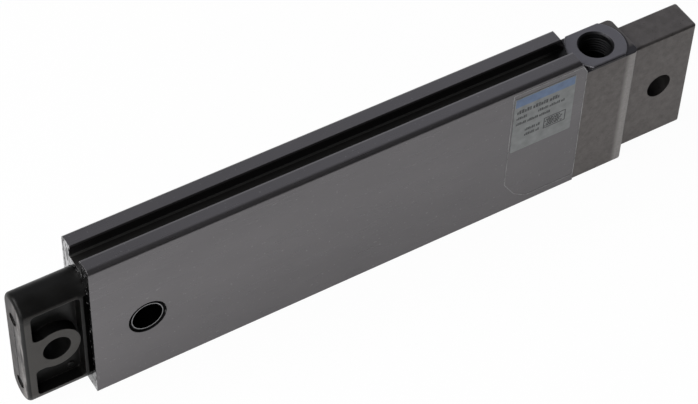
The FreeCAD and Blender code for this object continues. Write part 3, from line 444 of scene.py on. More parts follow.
def anodised_material(finish):
    """Dark anodised extrusion with drawing lines, rubbed edges, dust and bare sawn ends, with painted shade
    in the slot and hole, and painted highlights along the slot's floor and the front rib's slot edge.
    """
    material, tree, shader = new_material("anodised_barrel")
    parts = add_parts(tree)
    rib_top = BARREL_HIGH.z
    ends = add_facing(tree, ALONG)
    edge, soft_normal = add_edge(tree, width=0.0002, patch_size=0.004, amount=0.08)
    tone = add_tone(tree, finish.barrel_light, finish.barrel_dark, 0.009, stretch=(0.35, 1.0, 1.0))
    dust = product(tree, add_specks(tree, size=0.0009, level=0.67), 0.5)
    # Painted highlight: a pale strip along the top of the front rib's slot edge
    rib_edge_highlight = product(
        tree,
        add_range(tree, parts["Y"], -SLOT_MOUTH - 6 * FADE, -SLOT_MOUTH - 2 * FADE),
        add_range(tree, parts["Y"], -SLOT_MOUTH + 2 * FADE, -SLOT_MOUTH + FADE),
        add_range(tree, parts["Z"], rib_top - 2 * FADE, rib_top - FADE),
    )
    # Painted shade over the sensor slot's walls and floor
    in_slot = product(
        tree,
        add_range(tree, add_size(tree, parts["Y"]), SLOT_EDGE + FADE, SLOT_EDGE - FADE),
        add_range(tree, parts["Z"], SLOT_FLOOR - 2 * FADE, SLOT_FLOOR - FADE),
        add_range(tree, parts["Z"], rib_top - 3 * FADE, rib_top - 12 * FADE),
    )
    # Painted shade on the slot's floor, lighter than in the rest of the slot, except towards the boss
    on_floor = add_range(tree, parts["Z"], SLOT_FLOOR + 3 * FADE, SLOT_FLOOR + 2 * FADE)
    clear_of_boss = add_range(tree, parts["X"], PORT_MIDDLE.x - 0.0120, PORT_MIDDLE.x - 0.0165)
    floor_clear_of_boss = product(tree, on_floor, clear_of_boss)
    # Painted highlight: a pale line along the slot's floor under the back rib's lip
    along_line = add_range(tree, parts["Y"], SLOT_MOUTH - FADE, SLOT_MOUTH)
    floor_tone = add_mix(tree, along_line, finish.slot_floor_shade, finish.slot_floor_highlight)
    from_sleeve = add_axis_distance(tree, SLEEVE_MIDDLE, ACROSS)
    in_hole = add_range(tree, from_sleeve, HOLE_RELIEF + 0.2 * FADE, HOLE_RELIEF)
    # Painted shade: the sensor slot together with the cross hole's relief
    slot_and_hole_shade = add_math(tree, "MAXIMUM", in_slot, in_hole)
    slot_and_hole_shade_tone = paint(tree, finish.slot_shade_and_chips, (floor_clear_of_boss, floor_tone), (in_hole, finish.slot_shade_and_chips))
    saw = add_tone(tree, finish.cut_metal, finish.cut_dull, 0.0014, stretch=(1.0, 0.6, 1.0))
    scores = add_range(tree, add_grain(tree, 0.0010, stretch=(1.0, 1.0, 0.4), detail=2.0), 0.53, 0.58)
    skin = add_edge(tree, width=0.0003, patch_size=0.0012, amount=1.0)[0]
    sawn = paint(tree, saw, (scores, finish.slot_shade_and_chips), (skin, finish.slot_shade_and_chips))
    base = paint(
        tree,
        tone,
        (dust, finish.rib_highlight_and_dust),
        (rib_edge_highlight, finish.rib_highlight_and_dust),
        (edge, finish.cut_metal),
        (slot_and_hole_shade, slot_and_hole_shade_tone),
        (ends, sawn),
    )
    lines = add_grain(tree, 0.0003, stretch=(0.02, 1.0, 1.0))
    cut_gloss = add_range(tree, ends, 0.0, 1.0, 1.0, 0.6)
    glossy = product(tree, add_spread(tree, lines, 0.27, 0.33), cut_gloss)
    chips = product(tree, add_specks(tree, size=0.0009, level=0.62), ends, 0.75)
    matte_hole = product(tree, in_hole, 0.9)
    relief = product(tree, lines, add_grain(tree, 0.00035, detail=4.0))
    sources = {
        "Base Color": base,
        "Metallic": add_range(tree, ends, 0.0, 1.0, 0.9, 1.0),
        "Roughness": add_math(tree, "MAXIMUM", glossy, chips, matte_hole),
        "Normal": add_bump(tree, relief, depth=0.000007, strength=0.5, normal=soft_normal),
    }
    feed(tree, shader, sources)
    return material


def casting_material(finish):
    """Coated die casting with a fine grain, rubbed edges and turned boss, with painted shade round the
    boss's foot, on the port's chamfer and in the port and lug bore, and a painted highlight on the corners
    beside the lug.
    """
    material, tree, shader = new_material("coated_casting", metallic=0.85)
    parts = add_parts(tree)
    from_port = add_axis_distance(tree, PORT_MIDDLE, UPWARD)
    from_lug = add_axis_distance(tree, LUG_MIDDLE, ACROSS)
    # Painted shade on the port's chamfer
    in_mouth = add_range(tree, from_port, PORT_RADIUS + 6 * FADE, PORT_RADIUS + 5 * FADE)
    # Painted shade inside the port and its thread, and weaker in the lug bore
    in_port = add_range(tree, from_port, PORT_RADIUS + 2.5 * FADE, PORT_RADIUS + FADE)
    in_lug = add_range(tree, from_lug, LUG_RADIUS + FADE, LUG_RADIUS + 0.5 * FADE)
    in_hole = add_math(tree, "MAXIMUM", in_port, product(tree, in_lug, 0.6))
    grain = add_grain(tree, 0.0006, detail=4.0)
    edge, soft_normal = add_edge(tree, width=0.0003, patch_size=0.002, amount=0.1)
    tone = add_tone(tree, finish.cap_light, finish.cap_dark, 0.0022)
    pitted = add_mix(tree, add_specks(tree, size=0.0007, level=0.70), tone, finish.cap_pit)
    # Painted highlight: a pale, grainy band on the cap's rounded corners beside the lug
    corner_highlight_band = product(
        tree,
        add_range(tree, parts["X"], CAP_REAR - 0.0042, CAP_REAR - 0.0026),
        add_range(tree, parts["X"], CAP_REAR + FADE, CAP_REAR),
        add_range(tree, add_size(tree, parts["Y"]), 0.0050, 0.0054),
        add_range(tree, grain, 0.35, 0.65, 0.65, 1.0),
    )
    on_boss = add_range(tree, parts["Z"], CAP_HIGH.z - 3 * FADE, CAP_HIGH.z - 2 * FADE)
    near_top = add_range(tree, parts["Z"], CAP_TOP - 4.5 * FADE, CAP_TOP - 2 * FADE)
    on_top = add_range(tree, parts["Z"], CAP_TOP - 0.6 * FADE, CAP_TOP - 0.2 * FADE)
    # Painted shade over the cap's top and the boss's side, left out on the top away from the boss but kept
    # along the top's front edge
    unshaded_top_strip = product(
        tree,
        on_top,
        add_range(tree, from_port, BOSS_RADIUS + 4 * FADE, BOSS_RADIUS + 8 * FADE),
        add_range(tree, parts["Y"], -0.0048, -0.0036),
    )
    base = paint(
        tree,
        pitted,
        (corner_highlight_band, finish.cap_corner_highlight),
        (on_top, pitted),
        (add_math(tree, "SUBTRACT", near_top, unshaded_top_strip), finish.boss_foot_shade),
        (on_boss, finish.machined_cap),
        (edge, finish.cut_metal),
        (in_mouth, finish.port_chamfer_shade),
        (in_hole, finish.bore_shade),
    )
    matte_port = product(tree, in_port, 0.6)
    sources = {
        "Base Color": base,
        "Roughness": add_math(tree, "MAXIMUM", add_spread(tree, grain, 0.36, 0.52), matte_port),
        "Normal": add_bump(tree, grain, depth=0.00003, strength=0.5, normal=soft_normal),
    }
    feed(tree, shader, sources)
    return material


def moulding_material(finish):
    """Black glass-filled plastic, pale where its eye is rubbed and its end is speckled, with a painted
    highlight in streaks on the front half of its end.
    """
    material, tree, shader = new_material("black_moulding")
    parts = add_parts(tree)
    edge, soft_normal = add_edge(tree, width=0.0003, patch_size=0.0015, amount=0.35)
    side = -PLUNGER_LOW.y
    rubbed_flank = product(
        tree,
        add_facing(tree, ACROSS),
        add_range(tree, add_size(tree, parts["Y"]), side - 3 * FADE, side - 2 * FADE),
        add_range(tree, parts["X"], EYE_MIDDLE.x + 0.0071, EYE_MIDDLE.x + 0.0066),
        add_range(tree, parts["Z"], EYE_MIDDLE.z + 0.0144, EYE_MIDDLE.z + 0.0134, 0.45, 1.0),
        0.80,
    )
    tip = add_range(tree, parts["X"], PLUNGER_LOW.x + 4 * FADE, PLUNGER_LOW.x + 2 * FADE)
    end_face = product(tree, add_facing(tree, ALONG), tip)
    specks = add_range(tree, add_specks(tree, size=0.0005, level=0.58), 0.0, 1.0, 0.10, 1.0)
    chalked = product(tree, end_face, specks)
    # Painted highlight: pale streaks over the front half of the end face
    streaks = add_range(tree, add_grain(tree, 0.0016, stretch=(1.0, 1.0, 0.2), detail=4.0), 0.40, 0.60)
    to_front = add_range(tree, parts["Y"], 2 * FADE, PLUNGER_LOW.y + 10 * FADE)
    base = paint(
        tree,
        finish.plastic,
        (add_math(tree, "MAXIMUM", rubbed_flank, edge), finish.scuffed_plastic),
        (chalked, finish.chalky_plastic),
        (product(tree, end_face, to_front, streaks), finish.end_face_highlight),
    )
    satin = add_spread(tree, add_grain(tree, 0.004), 0.32, 0.46)
    grain = add_grain(tree, 0.0004, detail=4.0)
    sources = {
        "Base Color": base,
        "Roughness": add_math(tree, "ADD", satin, product(tree, chalked, 0.35)),
        "Specular IOR Level": 0.2,
        "Normal": add_bump(tree, grain, depth=0.00005, strength=0.4, normal=soft_normal),
    }
    feed(tree, shader, sources)
    return material


def sleeve_material(finish):
    """Steel sleeve: bright turned rims, with painted shade in the bore and on the rims' outer band."""
    material, tree, shader = new_material("sleeve_steel", metallic=1.0)
    from_axis = add_axis_distance(tree, SLEEVE_MIDDLE, ACROSS)
    # Painted shade everywhere but the inner band of the sleeve's ends
    inner = add_range(tree, from_axis, SLEEVE_RADIUS + 2.7 * FADE, SLEEVE_RADIUS + 2.1 * FADE)
    bright = product(tree, add_facing(tree, ACROSS), inner)
    rim = add_tone(tree, finish.sleeve_rim, finish.sleeve_dull, 0.0012)
    grain = add_grain(tree, 0.0003, stretch=(1.0, 0.1, 1.0))
    sources = {
        "Base Color": add_mix(tree, bright, finish.sleeve_shade, rim),
        "Roughness": add_spread(tree, grain, 0.24, 0.38),
        "Specular Tint": (0.2, 0.2, 0.2),
        "Normal": add_bump(tree, grain, depth=0.00001, strength=0.5),
    }
    feed(tree, shader, sources)
    return material


def plain_material(name, tone, depth, roughness, metallic=0.0, grain_size=0.0005):
    """A plain finish: one tone with a fine grain in its colour, gloss and relief."""
    material, tree, shader = new_material(name, metallic)
    dark_tone = [0.72 * part for part in tone]
    grain = add_grain(tree, grain_size)
    sources = {
        "Base Color": add_tone(tree, tone, dark_tone, 4.0 * grain_size),
        "Roughness": add_spread(tree, grain, 0.85 * roughness, 1.15 * roughness),
        "Normal": add_bump(tree, grain, depth, strength=0.5),
    }
    feed(tree, shader, sources)
    return material


def metal_material(name, tone, depth, roughness):
    """A plain finish of bare, finely worked metal."""
    return plain_material(name, tone, depth, roughness, metallic=1.0, grain_size=0.0003)


def film_material(finish):
    """Cut edge of a clear film as an opaque strip: a painted highlight in some stretches, darker in others.
    """
    material, tree, shader = new_material("film_edge")
    sources = {
        "Base Color": add_tone(tree, finish.film_edge_glint, finish.film_dark, 0.004),
        "Roughness": add_spread(tree, add_grain(tree, 0.001), 0.25, 0.45),
    }
    feed(tree, shader, sources)
    return material


def dress(nodes, material):
    """Give a finish to the solids with these names."""
    for name in nodes:
        solid = frame["nodes"][name]
        solid.data.materials.clear()
        solid.data.materials.append(material)


def finished_piece(name, mesh_data, body, materials):
    """Turn built mesh data into a piece that rides on a body."""
    mesh = bpy.data.meshes.new(name)
    mesh_data.to_mesh(mesh)
    mesh_data.free()
    for material in materials:
        mesh.materials.append(material)
    piece = bpy.data.objects.new(name, mesh)
    bpy.context.scene.collection.objects.link(piece)
    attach(piece, body)
    return piece


def rounded_outline(corners, radius, steps=5):
    """The corners of an outline, each drawn round by a small arc."""
    points = []
    for place, corner in enumerate(corners):
        middle = Vector(corner)
        before = Vector(corners[place - 1]) - middle
        after = Vector(corners[(place + 1) % len(corners)]) - middle
        reach = min(radius, 0.4 * before.length, 0.4 * after.length)
        start = middle + before.normalized() * reach
        stop = middle + after.normalized() * reach
        for step in range(steps + 1):
            share = step / steps
            points.append((1 - share) ** 2 * start + 2 * share * (1 - share) * middle + share**2 * stop)
    return points


def inset_outline(corners, depth):
    """The corners of an outline that runs against the clock, moved inward."""
    moved = []
    for place, corner in enumerate(corners):
        middle = Vector(corner)
        arrive = (middle - Vector(corners[place - 1])).normalized()
        leave = (Vector(corners[(place + 1) % len(corners)]) - middle).normalized()
        first = Vector((-arrive.y, arrive.x))
        second = Vector((-leave.y, leave.x))
        moved.append(middle + (first + second) * depth / (1 + first.dot(second)))
    return moved


def box_outline(left, low, right, top):
    """The corners of an upright rectangle."""
    return ((left, low), (right, low), (right, top), (left, top))


def add_upright_ring(mesh_data, outline, depth):
    """Add the points of an upright outline of (x, z) points at a depth."""
    return [mesh_data.verts.new((x, depth, z)) for x, z in outline]


def join_rings(mesh_data, ring, beside):
    """Close the band between two rings with as many points each, and give its faces."""
    following = ring[1:] + ring[:1]
    beside_following = beside[1:] + beside[:1]
    return [mesh_data.faces.new(corners) for corners in zip(ring, following, beside_following, beside)]


def add_plate(mesh_data, outline, back, front, finish=0):
    """Add a thin upright plate with an outline of (x, z) points between two depths."""
    rear_ring = add_upright_ring(mesh_data, outline, back)
    front_ring = add_upright_ring(mesh_data, outline, front)
    faces = [mesh_data.faces.new(front_ring), mesh_data.faces.new(list(reversed(rear_ring)))]
    faces += join_rings(mesh_data, rear_ring, front_ring)
    for face in faces:
        face.material_index = finish


def add_border(mesh_data, outline, inner, back, front):
    """Add a thin flat strip between an outline and the same outline moved inward."""
    corners = ((outline, back), (outline, front), (inner, front), (inner, back))
    rings = [add_upright_ring(mesh_data, points, depth) for points, depth in corners]
    for ring, beside in zip(rings, rings[1:] + rings[:1]):
        join_rings(mesh_data, ring, beside)


def add_swept_rings(mesh_data, rings, smooth=True):
    """Join a row of rings into a closed tube."""
    made = [[mesh_data.verts.new(point) for point in ring] for ring in rings]
    for ring, following in zip(made, made[1:]):
        for face in join_rings(mesh_data, ring, following):
            face.smooth = smooth
    mesh_data.faces.new(list(reversed(made[0])))
    mesh_data.faces.new(made[-1])
    bmesh.ops.recalc_face_normals(mesh_data, faces=mesh_data.faces[:])


def add_button(mesh_data, centre, across, upward, outward, radius, height, sides=28):
    """Add a low round button with a soft rim on a flat face."""
    rings = []
    for share, rise in ((1.0, -height), (1.0, 0.3 * height), (0.93, 0.85 * height), (0.80, height)):
        ring = []
        for side in range(sides):
            turn = 2 * math.pi * side / sides
            flat = across * math.cos(turn) + upward * math.sin(turn)
            ring.append(centre + flat * radius * share + outward * rise)
        rings.append(ring)
    add_swept_rings(mesh_data, rings)


def print_marks(start, stop, width):
    """A row of small marks that stand for print: left side, right side and share of the full height."""
    low_share = 0.72
    gap = 0.32 * width
    word_gap = 0.6 * width
    word_length = 6
    marks = []
    left = start
    count = 0
    while left + width < stop:
        wide = width * (0.75 + 0.5 * ((count * 7) % 5) / 4)
        share = 1.0 if count % 3 else low_share
        marks.append((left, min(left + wide, stop), share))
        left += wide + gap
        count += 1
        if count % word_length == 0:
            left += word_gap
    return marks


class CYLINDER_OT_dress_barrel(Operator):
    """Give the barrel its dark anodised finish"""

    bl_idname = "cylinder.dress_barrel"
    bl_label = "Barrel finish"

    def execute(self, context):
        dress(("barrel",), anodised_material(context.scene.cylinder_finish))
        return {"FINISHED"}


class CYLINDER_OT_dress_cap(Operator):
    """Give the end cap its coated casting finish"""

    bl_idname = "cylinder.dress_cap"
    bl_label = "Cap finish"

    def execute(self, context):
        dress(("end_cap",), casting_material(context.scene.cylinder_finish))
        return {"FINISHED"}


class CYLINDER_OT_dress_plunger(Operator):
    """Give the plunger its black moulded finish"""

    bl_idname = "cylinder.dress_plunger"
    bl_label = "Plunger finish"

    def execute(self, context):
        dress(("plunger",), moulding_material(context.scene.cylinder_finish))
        return {"FINISHED"}


class CYLINDER_OT_dress_metal_parts(Operator):
    """Give the sleeve, pins, washer, screws, inserts, magnet and piston their metals"""

    bl_idname = "cylinder.dress_metal_parts"
    bl_label = "Metal parts"

    def execute(self, context):
        finish = context.scene.cylinder_finish
        dress(("mounting_sleeve",), sleeve_material(finish))
        steel = metal_material("plain_steel", finish.steel, depth=0.00001, roughness=0.30)
        dress(("cap_pins", "spring_washer", "spring_guide_pin", "piston_screws"), steel)
        turned = metal_material("turned_metal", finish.turned_metal, depth=0.00002, roughness=0.32)
        dress(("piston_head", "seal_retainer"), turned)
        brass = metal_material("brass", finish.brass, depth=0.00001, roughness=0.28)
        dress(("screw_inserts",), brass)
        magnet = plain_material("magnet", finish.magnet, depth=0.00004, roughness=0.55, metallic=0.6)
        dress(("magnet",), magnet)
        return {"FINISHED"}


class CYLINDER_OT_dress_soft_parts(Operator):
    """Give the seals, buffers, guide band and spring saddle their rubber and plastic"""

    bl_idname = "cylinder.dress_soft_parts"
    bl_label = "Rubber and plastic parts"

    def execute(self, context):
        finish = context.scene.cylinder_finish
        rubber = plain_material("black_rubber", finish.rubber, depth=0.00004, roughness=0.60)
        dress(("cap_seal", "rear_bumper", "stop_buffer", "piston_seal"), rubber)
        white = plain_material("white_moulding", finish.white_plastic, depth=0.00003, roughness=0.45)
        dress(("piston_guide_band", "spring_saddle"), white)
        return {"FINISHED"}


class CYLINDER_OT_add_film(Operator):
    """Lay the cut edge of the clear film, an opaque strip with a painted highlight, round the label on the
    barrel's front
    """

    bl_idname = "cylinder.add_film"
    bl_label = "Clear film"

    def execute(self, context):
        finish = context.scene.cylinder_finish
        detail = context.scene.cylinder_detail
        left = BARREL_HIGH.x - detail.film_inset
        right = BARREL_HIGH.x - 0.00005
        low = detail.film_low
        shoulder = 0.0440
        corners = (
            (left, low + 0.0084),
            (left + 0.0036, low + 0.0029),
            (left + 0.0078, low),
            (right, low),
            (right, shoulder),
            (right - 0.0014, detail.film_top),
            (left, detail.film_top),
        )
        outline = rounded_outline(corners, 0.0006)
        inner = rounded_outline(inset_outline(corners, detail.film_border), 0.0005)
        mesh_data = bmesh.new()
        add_border(mesh_data, outline, inner, BARREL_LOW.y, BARREL_LOW.y - detail.film_thickness)
        finished_piece("film_edge", mesh_data, HOUSING, (film_material(finish),))
        return {"FINISHED"}


class CYLINDER_OT_add_label(Operator):
    """Put the rating label, with generic bars for print, on the barrel's front"""

    bl_idname = "cylinder.add_label"
    bl_label = "Rating label"

    def execute(self, context):
        finish = context.scene.cylinder_finish
        detail = context.scene.cylinder_detail
        left = BARREL_HIGH.x - detail.label_inset
        right = left + detail.label_width
        low = detail.label_low
        top = low + detail.label_height
        back = BARREL_LOW.y
        front = back - detail.label_thickness
        printed = front - 0.00002
        margin = 0.0003
        mesh_data = bmesh.new()
        add_plate(mesh_data, rounded_outline(box_outline(left, low, right, top), 0.0006), back, front)
        band = box_outline(left + margin, top - detail.band_height, right - margin, top - margin)
        add_plate(mesh_data, band, front, printed, finish=1)
        for bar in (*self.text_bars(left, top), *self.patch_bars(left, top)):
            add_plate(mesh_data, bar, front, printed, finish=2)
        depth = 0.00001
        paper = plain_material("label_face", finish.label_grey, depth, roughness=0.42, grain_size=0.0006)
        blue = plain_material("label_band", finish.label_blue, depth, roughness=0.40, grain_size=0.0006)
        ink = plain_material("label_ink", finish.label_ink, depth, roughness=0.45, grain_size=0.0004)
        finished_piece("rating_label", mesh_data, HOUSING, (paper, blue, ink))
        return {"FINISHED"}

    def text_bars(self, left, top):
        """Outlines of the marks in the label's rows of print."""
        bars = []
        for drop, height, start, stop in PRINT_ROWS:
            foot = top - drop - height
            for mark_left, mark_right, share in print_marks(start, stop, 0.45 * height):
                mark_top = foot + share * height
                bars.append(box_outline(left + mark_left, foot, left + mark_right, mark_top))
        return bars

    def patch_bars(self, left, top):
        """Outlines of the framed patch of small marks near the label's foot."""
        patch_left = left + 0.0104
        patch_low = top - 0.0164
        patch_right = left + 0.0176
        patch_top = top - 0.0122
        line = 0.0003
        bars = [
            box_outline(patch_left, patch_low, patch_right, patch_low + line),
            box_outline(patch_left, patch_top - line, patch_right, patch_top),
            box_outline(patch_left, patch_low + line, patch_left + line, patch_top - line),
            box_outline(patch_right - line, patch_low + line, patch_right, patch_top - line),
        ]
        rows = 5
        row_step = 0.00062
        mark_width = 0.00062
        mark_height = 0.00058
        for row in range(rows):
            foot = patch_low + 2 * line + row_step * row
            shift = 0.00037 * (row % 3)
            for mark_left, mark_right, share in print_marks(0.0108 + shift, 0.0166, mark_width):
                mark_top = foot + share * mark_height
                bars.append(box_outline(left + mark_left, foot, left + mark_right, mark_top))
        return bars


class CYLINDER_OT_cut_thread(Operator):
    """Line the air port with its pipe thread"""

    bl_idname = "cylinder.cut_thread"
    bl_label = "Port thread"

    def execute(self, context):
        detail = context.scene.cylinder_detail
        pitch = detail.thread_pitch
        root = PORT_RADIUS + 0.00006
        crest = PORT_RADIUS - detail.thread_depth
        top = CAP_HIGH.z - 0.0012
        turns = 7
        steps = 44
        run_out = steps // 2
        half_root = 0.42 * pitch
        half_crest = 0.07 * pitch
        rings = []
        for step in range(turns * steps + 1):
            turn = 2 * math.pi * step / steps
            share = min(1.0, (step + 1) / run_out, (turns * steps - step + 1) / run_out)
            inner = root + (crest - root) * share
            outward = Vector((math.cos(turn), math.sin(turn), 0.0))
            centre = Vector((PORT_MIDDLE.x, PORT_MIDDLE.y, top - pitch * step / steps))
            profile = ((root, half_root), (inner, half_crest), (inner, -half_crest), (root, -half_root))
            rings.append([centre + outward * reach + UPWARD * rise for reach, rise in profile])
        mesh_data = bmesh.new()
        add_swept_rings(mesh_data, rings, smooth=False)
        finish = frame["nodes"]["end_cap"].data.materials[0]
        finished_piece("port_thread", mesh_data, HOUSING, (finish,))
        return {"FINISHED"}


class CYLINDER_OT_wind_spring(Operator):
    """Wind the return spring from round wire, in place of its plain solid"""

    bl_idname = "cylinder.wind_spring"
    bl_label = "Return spring"

    def execute(self, context):
        finish = context.scene.cylinder_finish
        detail = context.scene.cylinder_detail
        wire = detail.spring_wire / 2
        middle = (SPRING_LOW + SPRING_HIGH) / 2
        coil_radius = (SPRING_HIGH.z - SPRING_LOW.z) / 2 - wire
        free_length = SPRING_HIGH.x - SPRING_LOW.x
        turns = detail.spring_turns
        steps = 36
        sides = 10
        closed = 1.0
        open_pitch = (free_length - 4 * wire - 2 * wire * closed) / (turns - 2 * closed)
        rings = []
        for step in range(turns * steps + 1):
            turn = step / steps
            lead_in = min(turn, closed)
            lead_out = max(0.0, turn - (turns - closed))
            travel = 2 * wire * (lead_in + lead_out) + open_pitch * (turn - lead_in - lead_out)
            round_coil = 2 * math.pi * turn
            outward = Vector((0.0, math.cos(round_coil), math.sin(round_coil)))
            centre = Vector((SPRING_LOW.x + wire + travel, middle.y, middle.z)) + outward * coil_radius
            ring = []
            for side in range(sides):
                round_wire = 2 * math.pi * side / sides
                aside = outward * math.cos(round_wire) + ALONG * math.sin(round_wire)
                ring.append(centre + aside * wire)
            rings.append(ring)
        mesh_data = bmesh.new()
        add_swept_rings(mesh_data, rings)
        steel = metal_material("spring_steel", finish.steel, depth=0.00001, roughness=0.28)
        spring = finished_piece("wound_spring", mesh_data, HOUSING, (steel,))
        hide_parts("return_spring")
        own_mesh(spring)
        return {"FINISHED"}


class CYLINDER_OT_add_moulding_marks(Operator):
    """Put the ejector mark in the plunger's pocket and the parting line on its end"""

    bl_idname = "cylinder.add_moulding_marks"
    bl_label = "Moulding marks"

    def execute(self, context):
        detail = context.scene.cylinder_detail
        finish = frame["nodes"]["plunger"].data.materials[0]
        pocket = bmesh.new()
        add_button(pocket, POCKET_FLOOR, ALONG, UPWARD, -ACROSS, detail.ejector_radius, height=0.0004)
        finished_piece("ejector_mark", pocket, PLUNGER_UNIT, (finish,))
        half = detail.parting_width / 2
        foot = 0.00002
        crest = -0.00005
        profile = ((-half, foot), (-0.5 * half, crest), (0.5 * half, crest), (half, foot))
        rises_from_eye = (-0.0120, -0.0117, 0.0095, 0.0098)
        rings = []
        for rise in rises_from_eye:
            middle = Vector((PLUNGER_LOW.x, 0.0, EYE_MIDDLE.z + rise))
            rings.append([middle + ALONG * out + ACROSS * aside for aside, out in profile])
        line = bmesh.new()
        add_swept_rings(line, rings)
        finished_piece("parting_line", line, PLUNGER_UNIT, (finish,))
        return {"FINISHED"}


def floor_material(stage):
    """White studio floor with a soft shadow, with painted reflections: for glossy rays only it glows partly
    white near the part, a little more towards +X, and turns dark well before it.
    """
    material = bpy.data.materials.new("studio_floor")
    material.use_nodes = True
    tree = material.node_tree
    tree.nodes.clear()
    rays = add_node(tree, "ShaderNodeLightPath").outputs
    seen = add_math(tree, "MAXIMUM", rays["Is Camera Ray"], rays["Is Transmission Ray"])
    white_seen = product(tree, seen, 0.97)
    parts = add_parts(tree)
    # Painted reflection: for glossy rays only, partly white near the part, a little more towards +X, and
    # dark well before it
    far_before = -0.086
    close_before = -0.050
    near = add_range(tree, parts["Y"], far_before, close_before)
    beyond = add_range(tree, parts["Y"], close_before, far_before)
    along = add_range(tree, parts["X"], 0.0, 0.08, 0.335, 0.375)
    pale_reflection_place = product(tree, near, along)
    white_reflection_share = product(tree, rays["Is Glossy Ray"], pale_reflection_place)
    dark_reflection_share = product(tree, rays["Is Glossy Ray"], beyond)
    paper_tone = add_mix(tree, dark_reflection_share, stage.floor_paper, stage.floor_reflection_dark)
    share = add_math(tree, "MAXIMUM", white_seen, white_reflection_share)
    paper = add_node(tree, "ShaderNodeBsdfDiffuse", {"Color": paper_tone})
    white = add_node(tree, "ShaderNodeEmission", {"Color": WHITE, "Strength": 1.0})
    mixed = add_node(tree, "ShaderNodeMixShader", {0: share, 1: paper.outputs[0], 2: white.outputs[0]})
    add_node(tree, "ShaderNodeOutputMaterial", {"Surface": mixed.outputs[0]})
    return material


def add_lamp(name, direction, aim, watts, reach, width):
    """Hang a square soft lamp in a direction from the object, turned towards it."""
    data = bpy.data.lights.new(name, "AREA")
    data.shape = "SQUARE"
    data.size = width
    data.energy = watts
    lamp = bpy.data.objects.new(name, data)
    lamp.location = aim + direction.normalized() * reach
    lamp.rotation_mode = "QUATERNION"
    lamp.rotation_quaternion = (-direction).to_track_quat("-Z", "Y")
    bpy.context.scene.collection.objects.link(lamp)


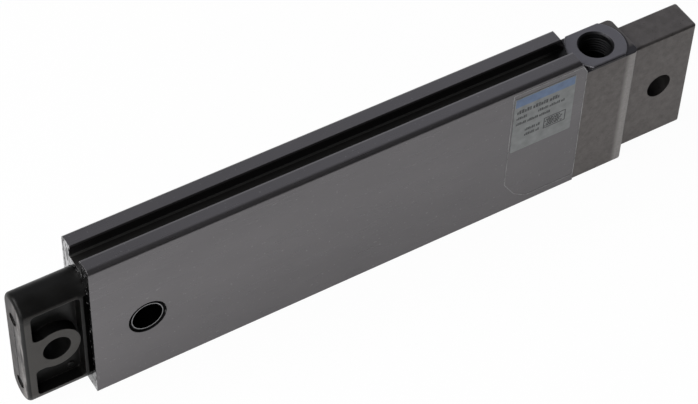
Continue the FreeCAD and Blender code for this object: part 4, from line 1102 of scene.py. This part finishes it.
class CYLINDER_OT_set_stage(Operator):
    """Set up the floor, the sky, the lamps and the camera"""

    bl_idname = "cylinder.set_stage"
    bl_label = "Studio"

    def execute(self, context):
        stage = context.scene.cylinder_stage
        self.add_floor(stage)
        self.paint_sky(stage)
        aim = Vector(stage.aim)
        add_lamp("key_lamp", Vector((-0.62, 0.15, 0.77)), aim, stage.key_power, reach=1.0, width=0.8)
        add_lamp("fill_lamp", Vector((-0.70, -0.62, 0.35)), aim, stage.fill_power, reach=0.6, width=0.4)
        self.add_camera(stage, aim)
        context.scene.view_settings.view_transform = "Standard"
        return {"FINISHED"}

    def add_floor(self, stage):
        """Lay a floor that reaches the horizon."""
        reach = 30.0
        height = -0.0001
        mesh_data = bmesh.new()
        corners = box_outline(-reach, -reach, reach, reach)
        mesh_data.faces.new([mesh_data.verts.new((x, y, height)) for x, y in corners])
        mesh = bpy.data.meshes.new("studio_floor")
        mesh_data.to_mesh(mesh)
        mesh_data.free()
        mesh.materials.append(floor_material(stage))
        floor = bpy.data.objects.new("studio_floor", mesh)
        bpy.context.scene.collection.objects.link(floor)

    def paint_sky(self, stage):
        """Make a white horizon behind the object, under a sky that is dark above the camera."""
        world = bpy.data.worlds.new("studio_sky")
        world.use_nodes = True
        tree = world.node_tree
        place = add_node(tree, "ShaderNodeTexCoord").outputs["Generated"]
        bright_side = Vector((0.750, 0.450, 0.485))
        towards = add_vector_math(tree, "DOT_PRODUCT", place, bright_side)["Value"]
        share = add_range(tree, towards, 0.62, 0.93)
        sky = add_mix(tree, share, stage.sky_dark, stage.sky_bright)
        parts = add_parts(tree, "Generated")
        low = add_range(tree, parts["Z"], 0.16, 0.03)
        behind = add_range(tree, parts["Y"], -0.3, 0.1)
        horizon = product(tree, low, behind)
        feed(tree, tree.nodes["Background"], {"Color": add_mix(tree, horizon, sky, WHITE)})
        bpy.context.scene.world = world

    def add_camera(self, stage, aim):
        """Place the camera at the photograph's viewpoint."""
        level = math.cos(stage.elevation)
        back = Vector(
            (
                math.sin(stage.azimuth) * level,
                -math.cos(stage.azimuth) * level,
                math.sin(stage.elevation),
            )
        )
        level_right = UPWARD.cross(back).normalized()
        level_up = back.cross(level_right)
        right = level_right * math.cos(stage.roll) + level_up * math.sin(stage.roll)
        up = back.cross(right)
        data = bpy.data.cameras.new("camera")
        data.lens = stage.focal_length
        camera = bpy.data.objects.new("camera", data)
        turned = Matrix((right, up, back)).transposed().to_4x4()
        camera.matrix_world = Matrix.Translation(aim + back * stage.distance) @ turned
        bpy.context.scene.collection.objects.link(camera)
        bpy.context.scene.camera = camera


OPERATORS = (
    CYLINDER_OT_dress_barrel,
    CYLINDER_OT_dress_cap,
    CYLINDER_OT_dress_plunger,
    CYLINDER_OT_dress_metal_parts,
    CYLINDER_OT_dress_soft_parts,
    CYLINDER_OT_add_film,
    CYLINDER_OT_add_label,
    CYLINDER_OT_cut_thread,
    CYLINDER_OT_wind_spring,
    CYLINDER_OT_add_moulding_marks,
    CYLINDER_OT_set_stage,
)
SETTINGS = {
    "cylinder_finish": FinishSettings,
    "cylinder_detail": DetailSettings,
    "cylinder_stage": StageSettings,
}


class CYLINDER_PT_pieces(Panel):
    """Lists the steps that dress the cylinder, and their settings"""

    bl_idname = "CYLINDER_PT_pieces"
    bl_label = "Air cylinder"
    bl_space_type = "VIEW_3D"
    bl_region_type = "UI"
    bl_category = "Air cylinder"

    def draw(self, context):
        for step in OPERATORS:
            self.layout.operator(step.bl_idname)
        for settings in SETTINGS:
            group = getattr(context.scene, settings)
            box = self.layout.box()
            for name in group.__annotations__:
                box.prop(group, name)


CLASSES = (*SETTINGS.values(), *OPERATORS, CYLINDER_PT_pieces)


def register():
    """Make the settings, the operators and the panel known to Blender."""
    for entry in CLASSES:
        bpy.utils.register_class(entry)
    for name, settings in SETTINGS.items():
        setattr(bpy.types.Scene, name, PointerProperty(type=settings))


def unregister():
    """Take the settings, the operators and the panel out of Blender again."""
    for name in SETTINGS:
        delattr(bpy.types.Scene, name)
    for entry in reversed(CLASSES):
        bpy.utils.unregister_class(entry)


def main():
    """Dress the cylinder step by step."""
    register()
    for step in OPERATORS:
        group, name = step.bl_idname.split(".")
        getattr(getattr(bpy.ops, group), name)()


if __name__ == "__main__":
    main()
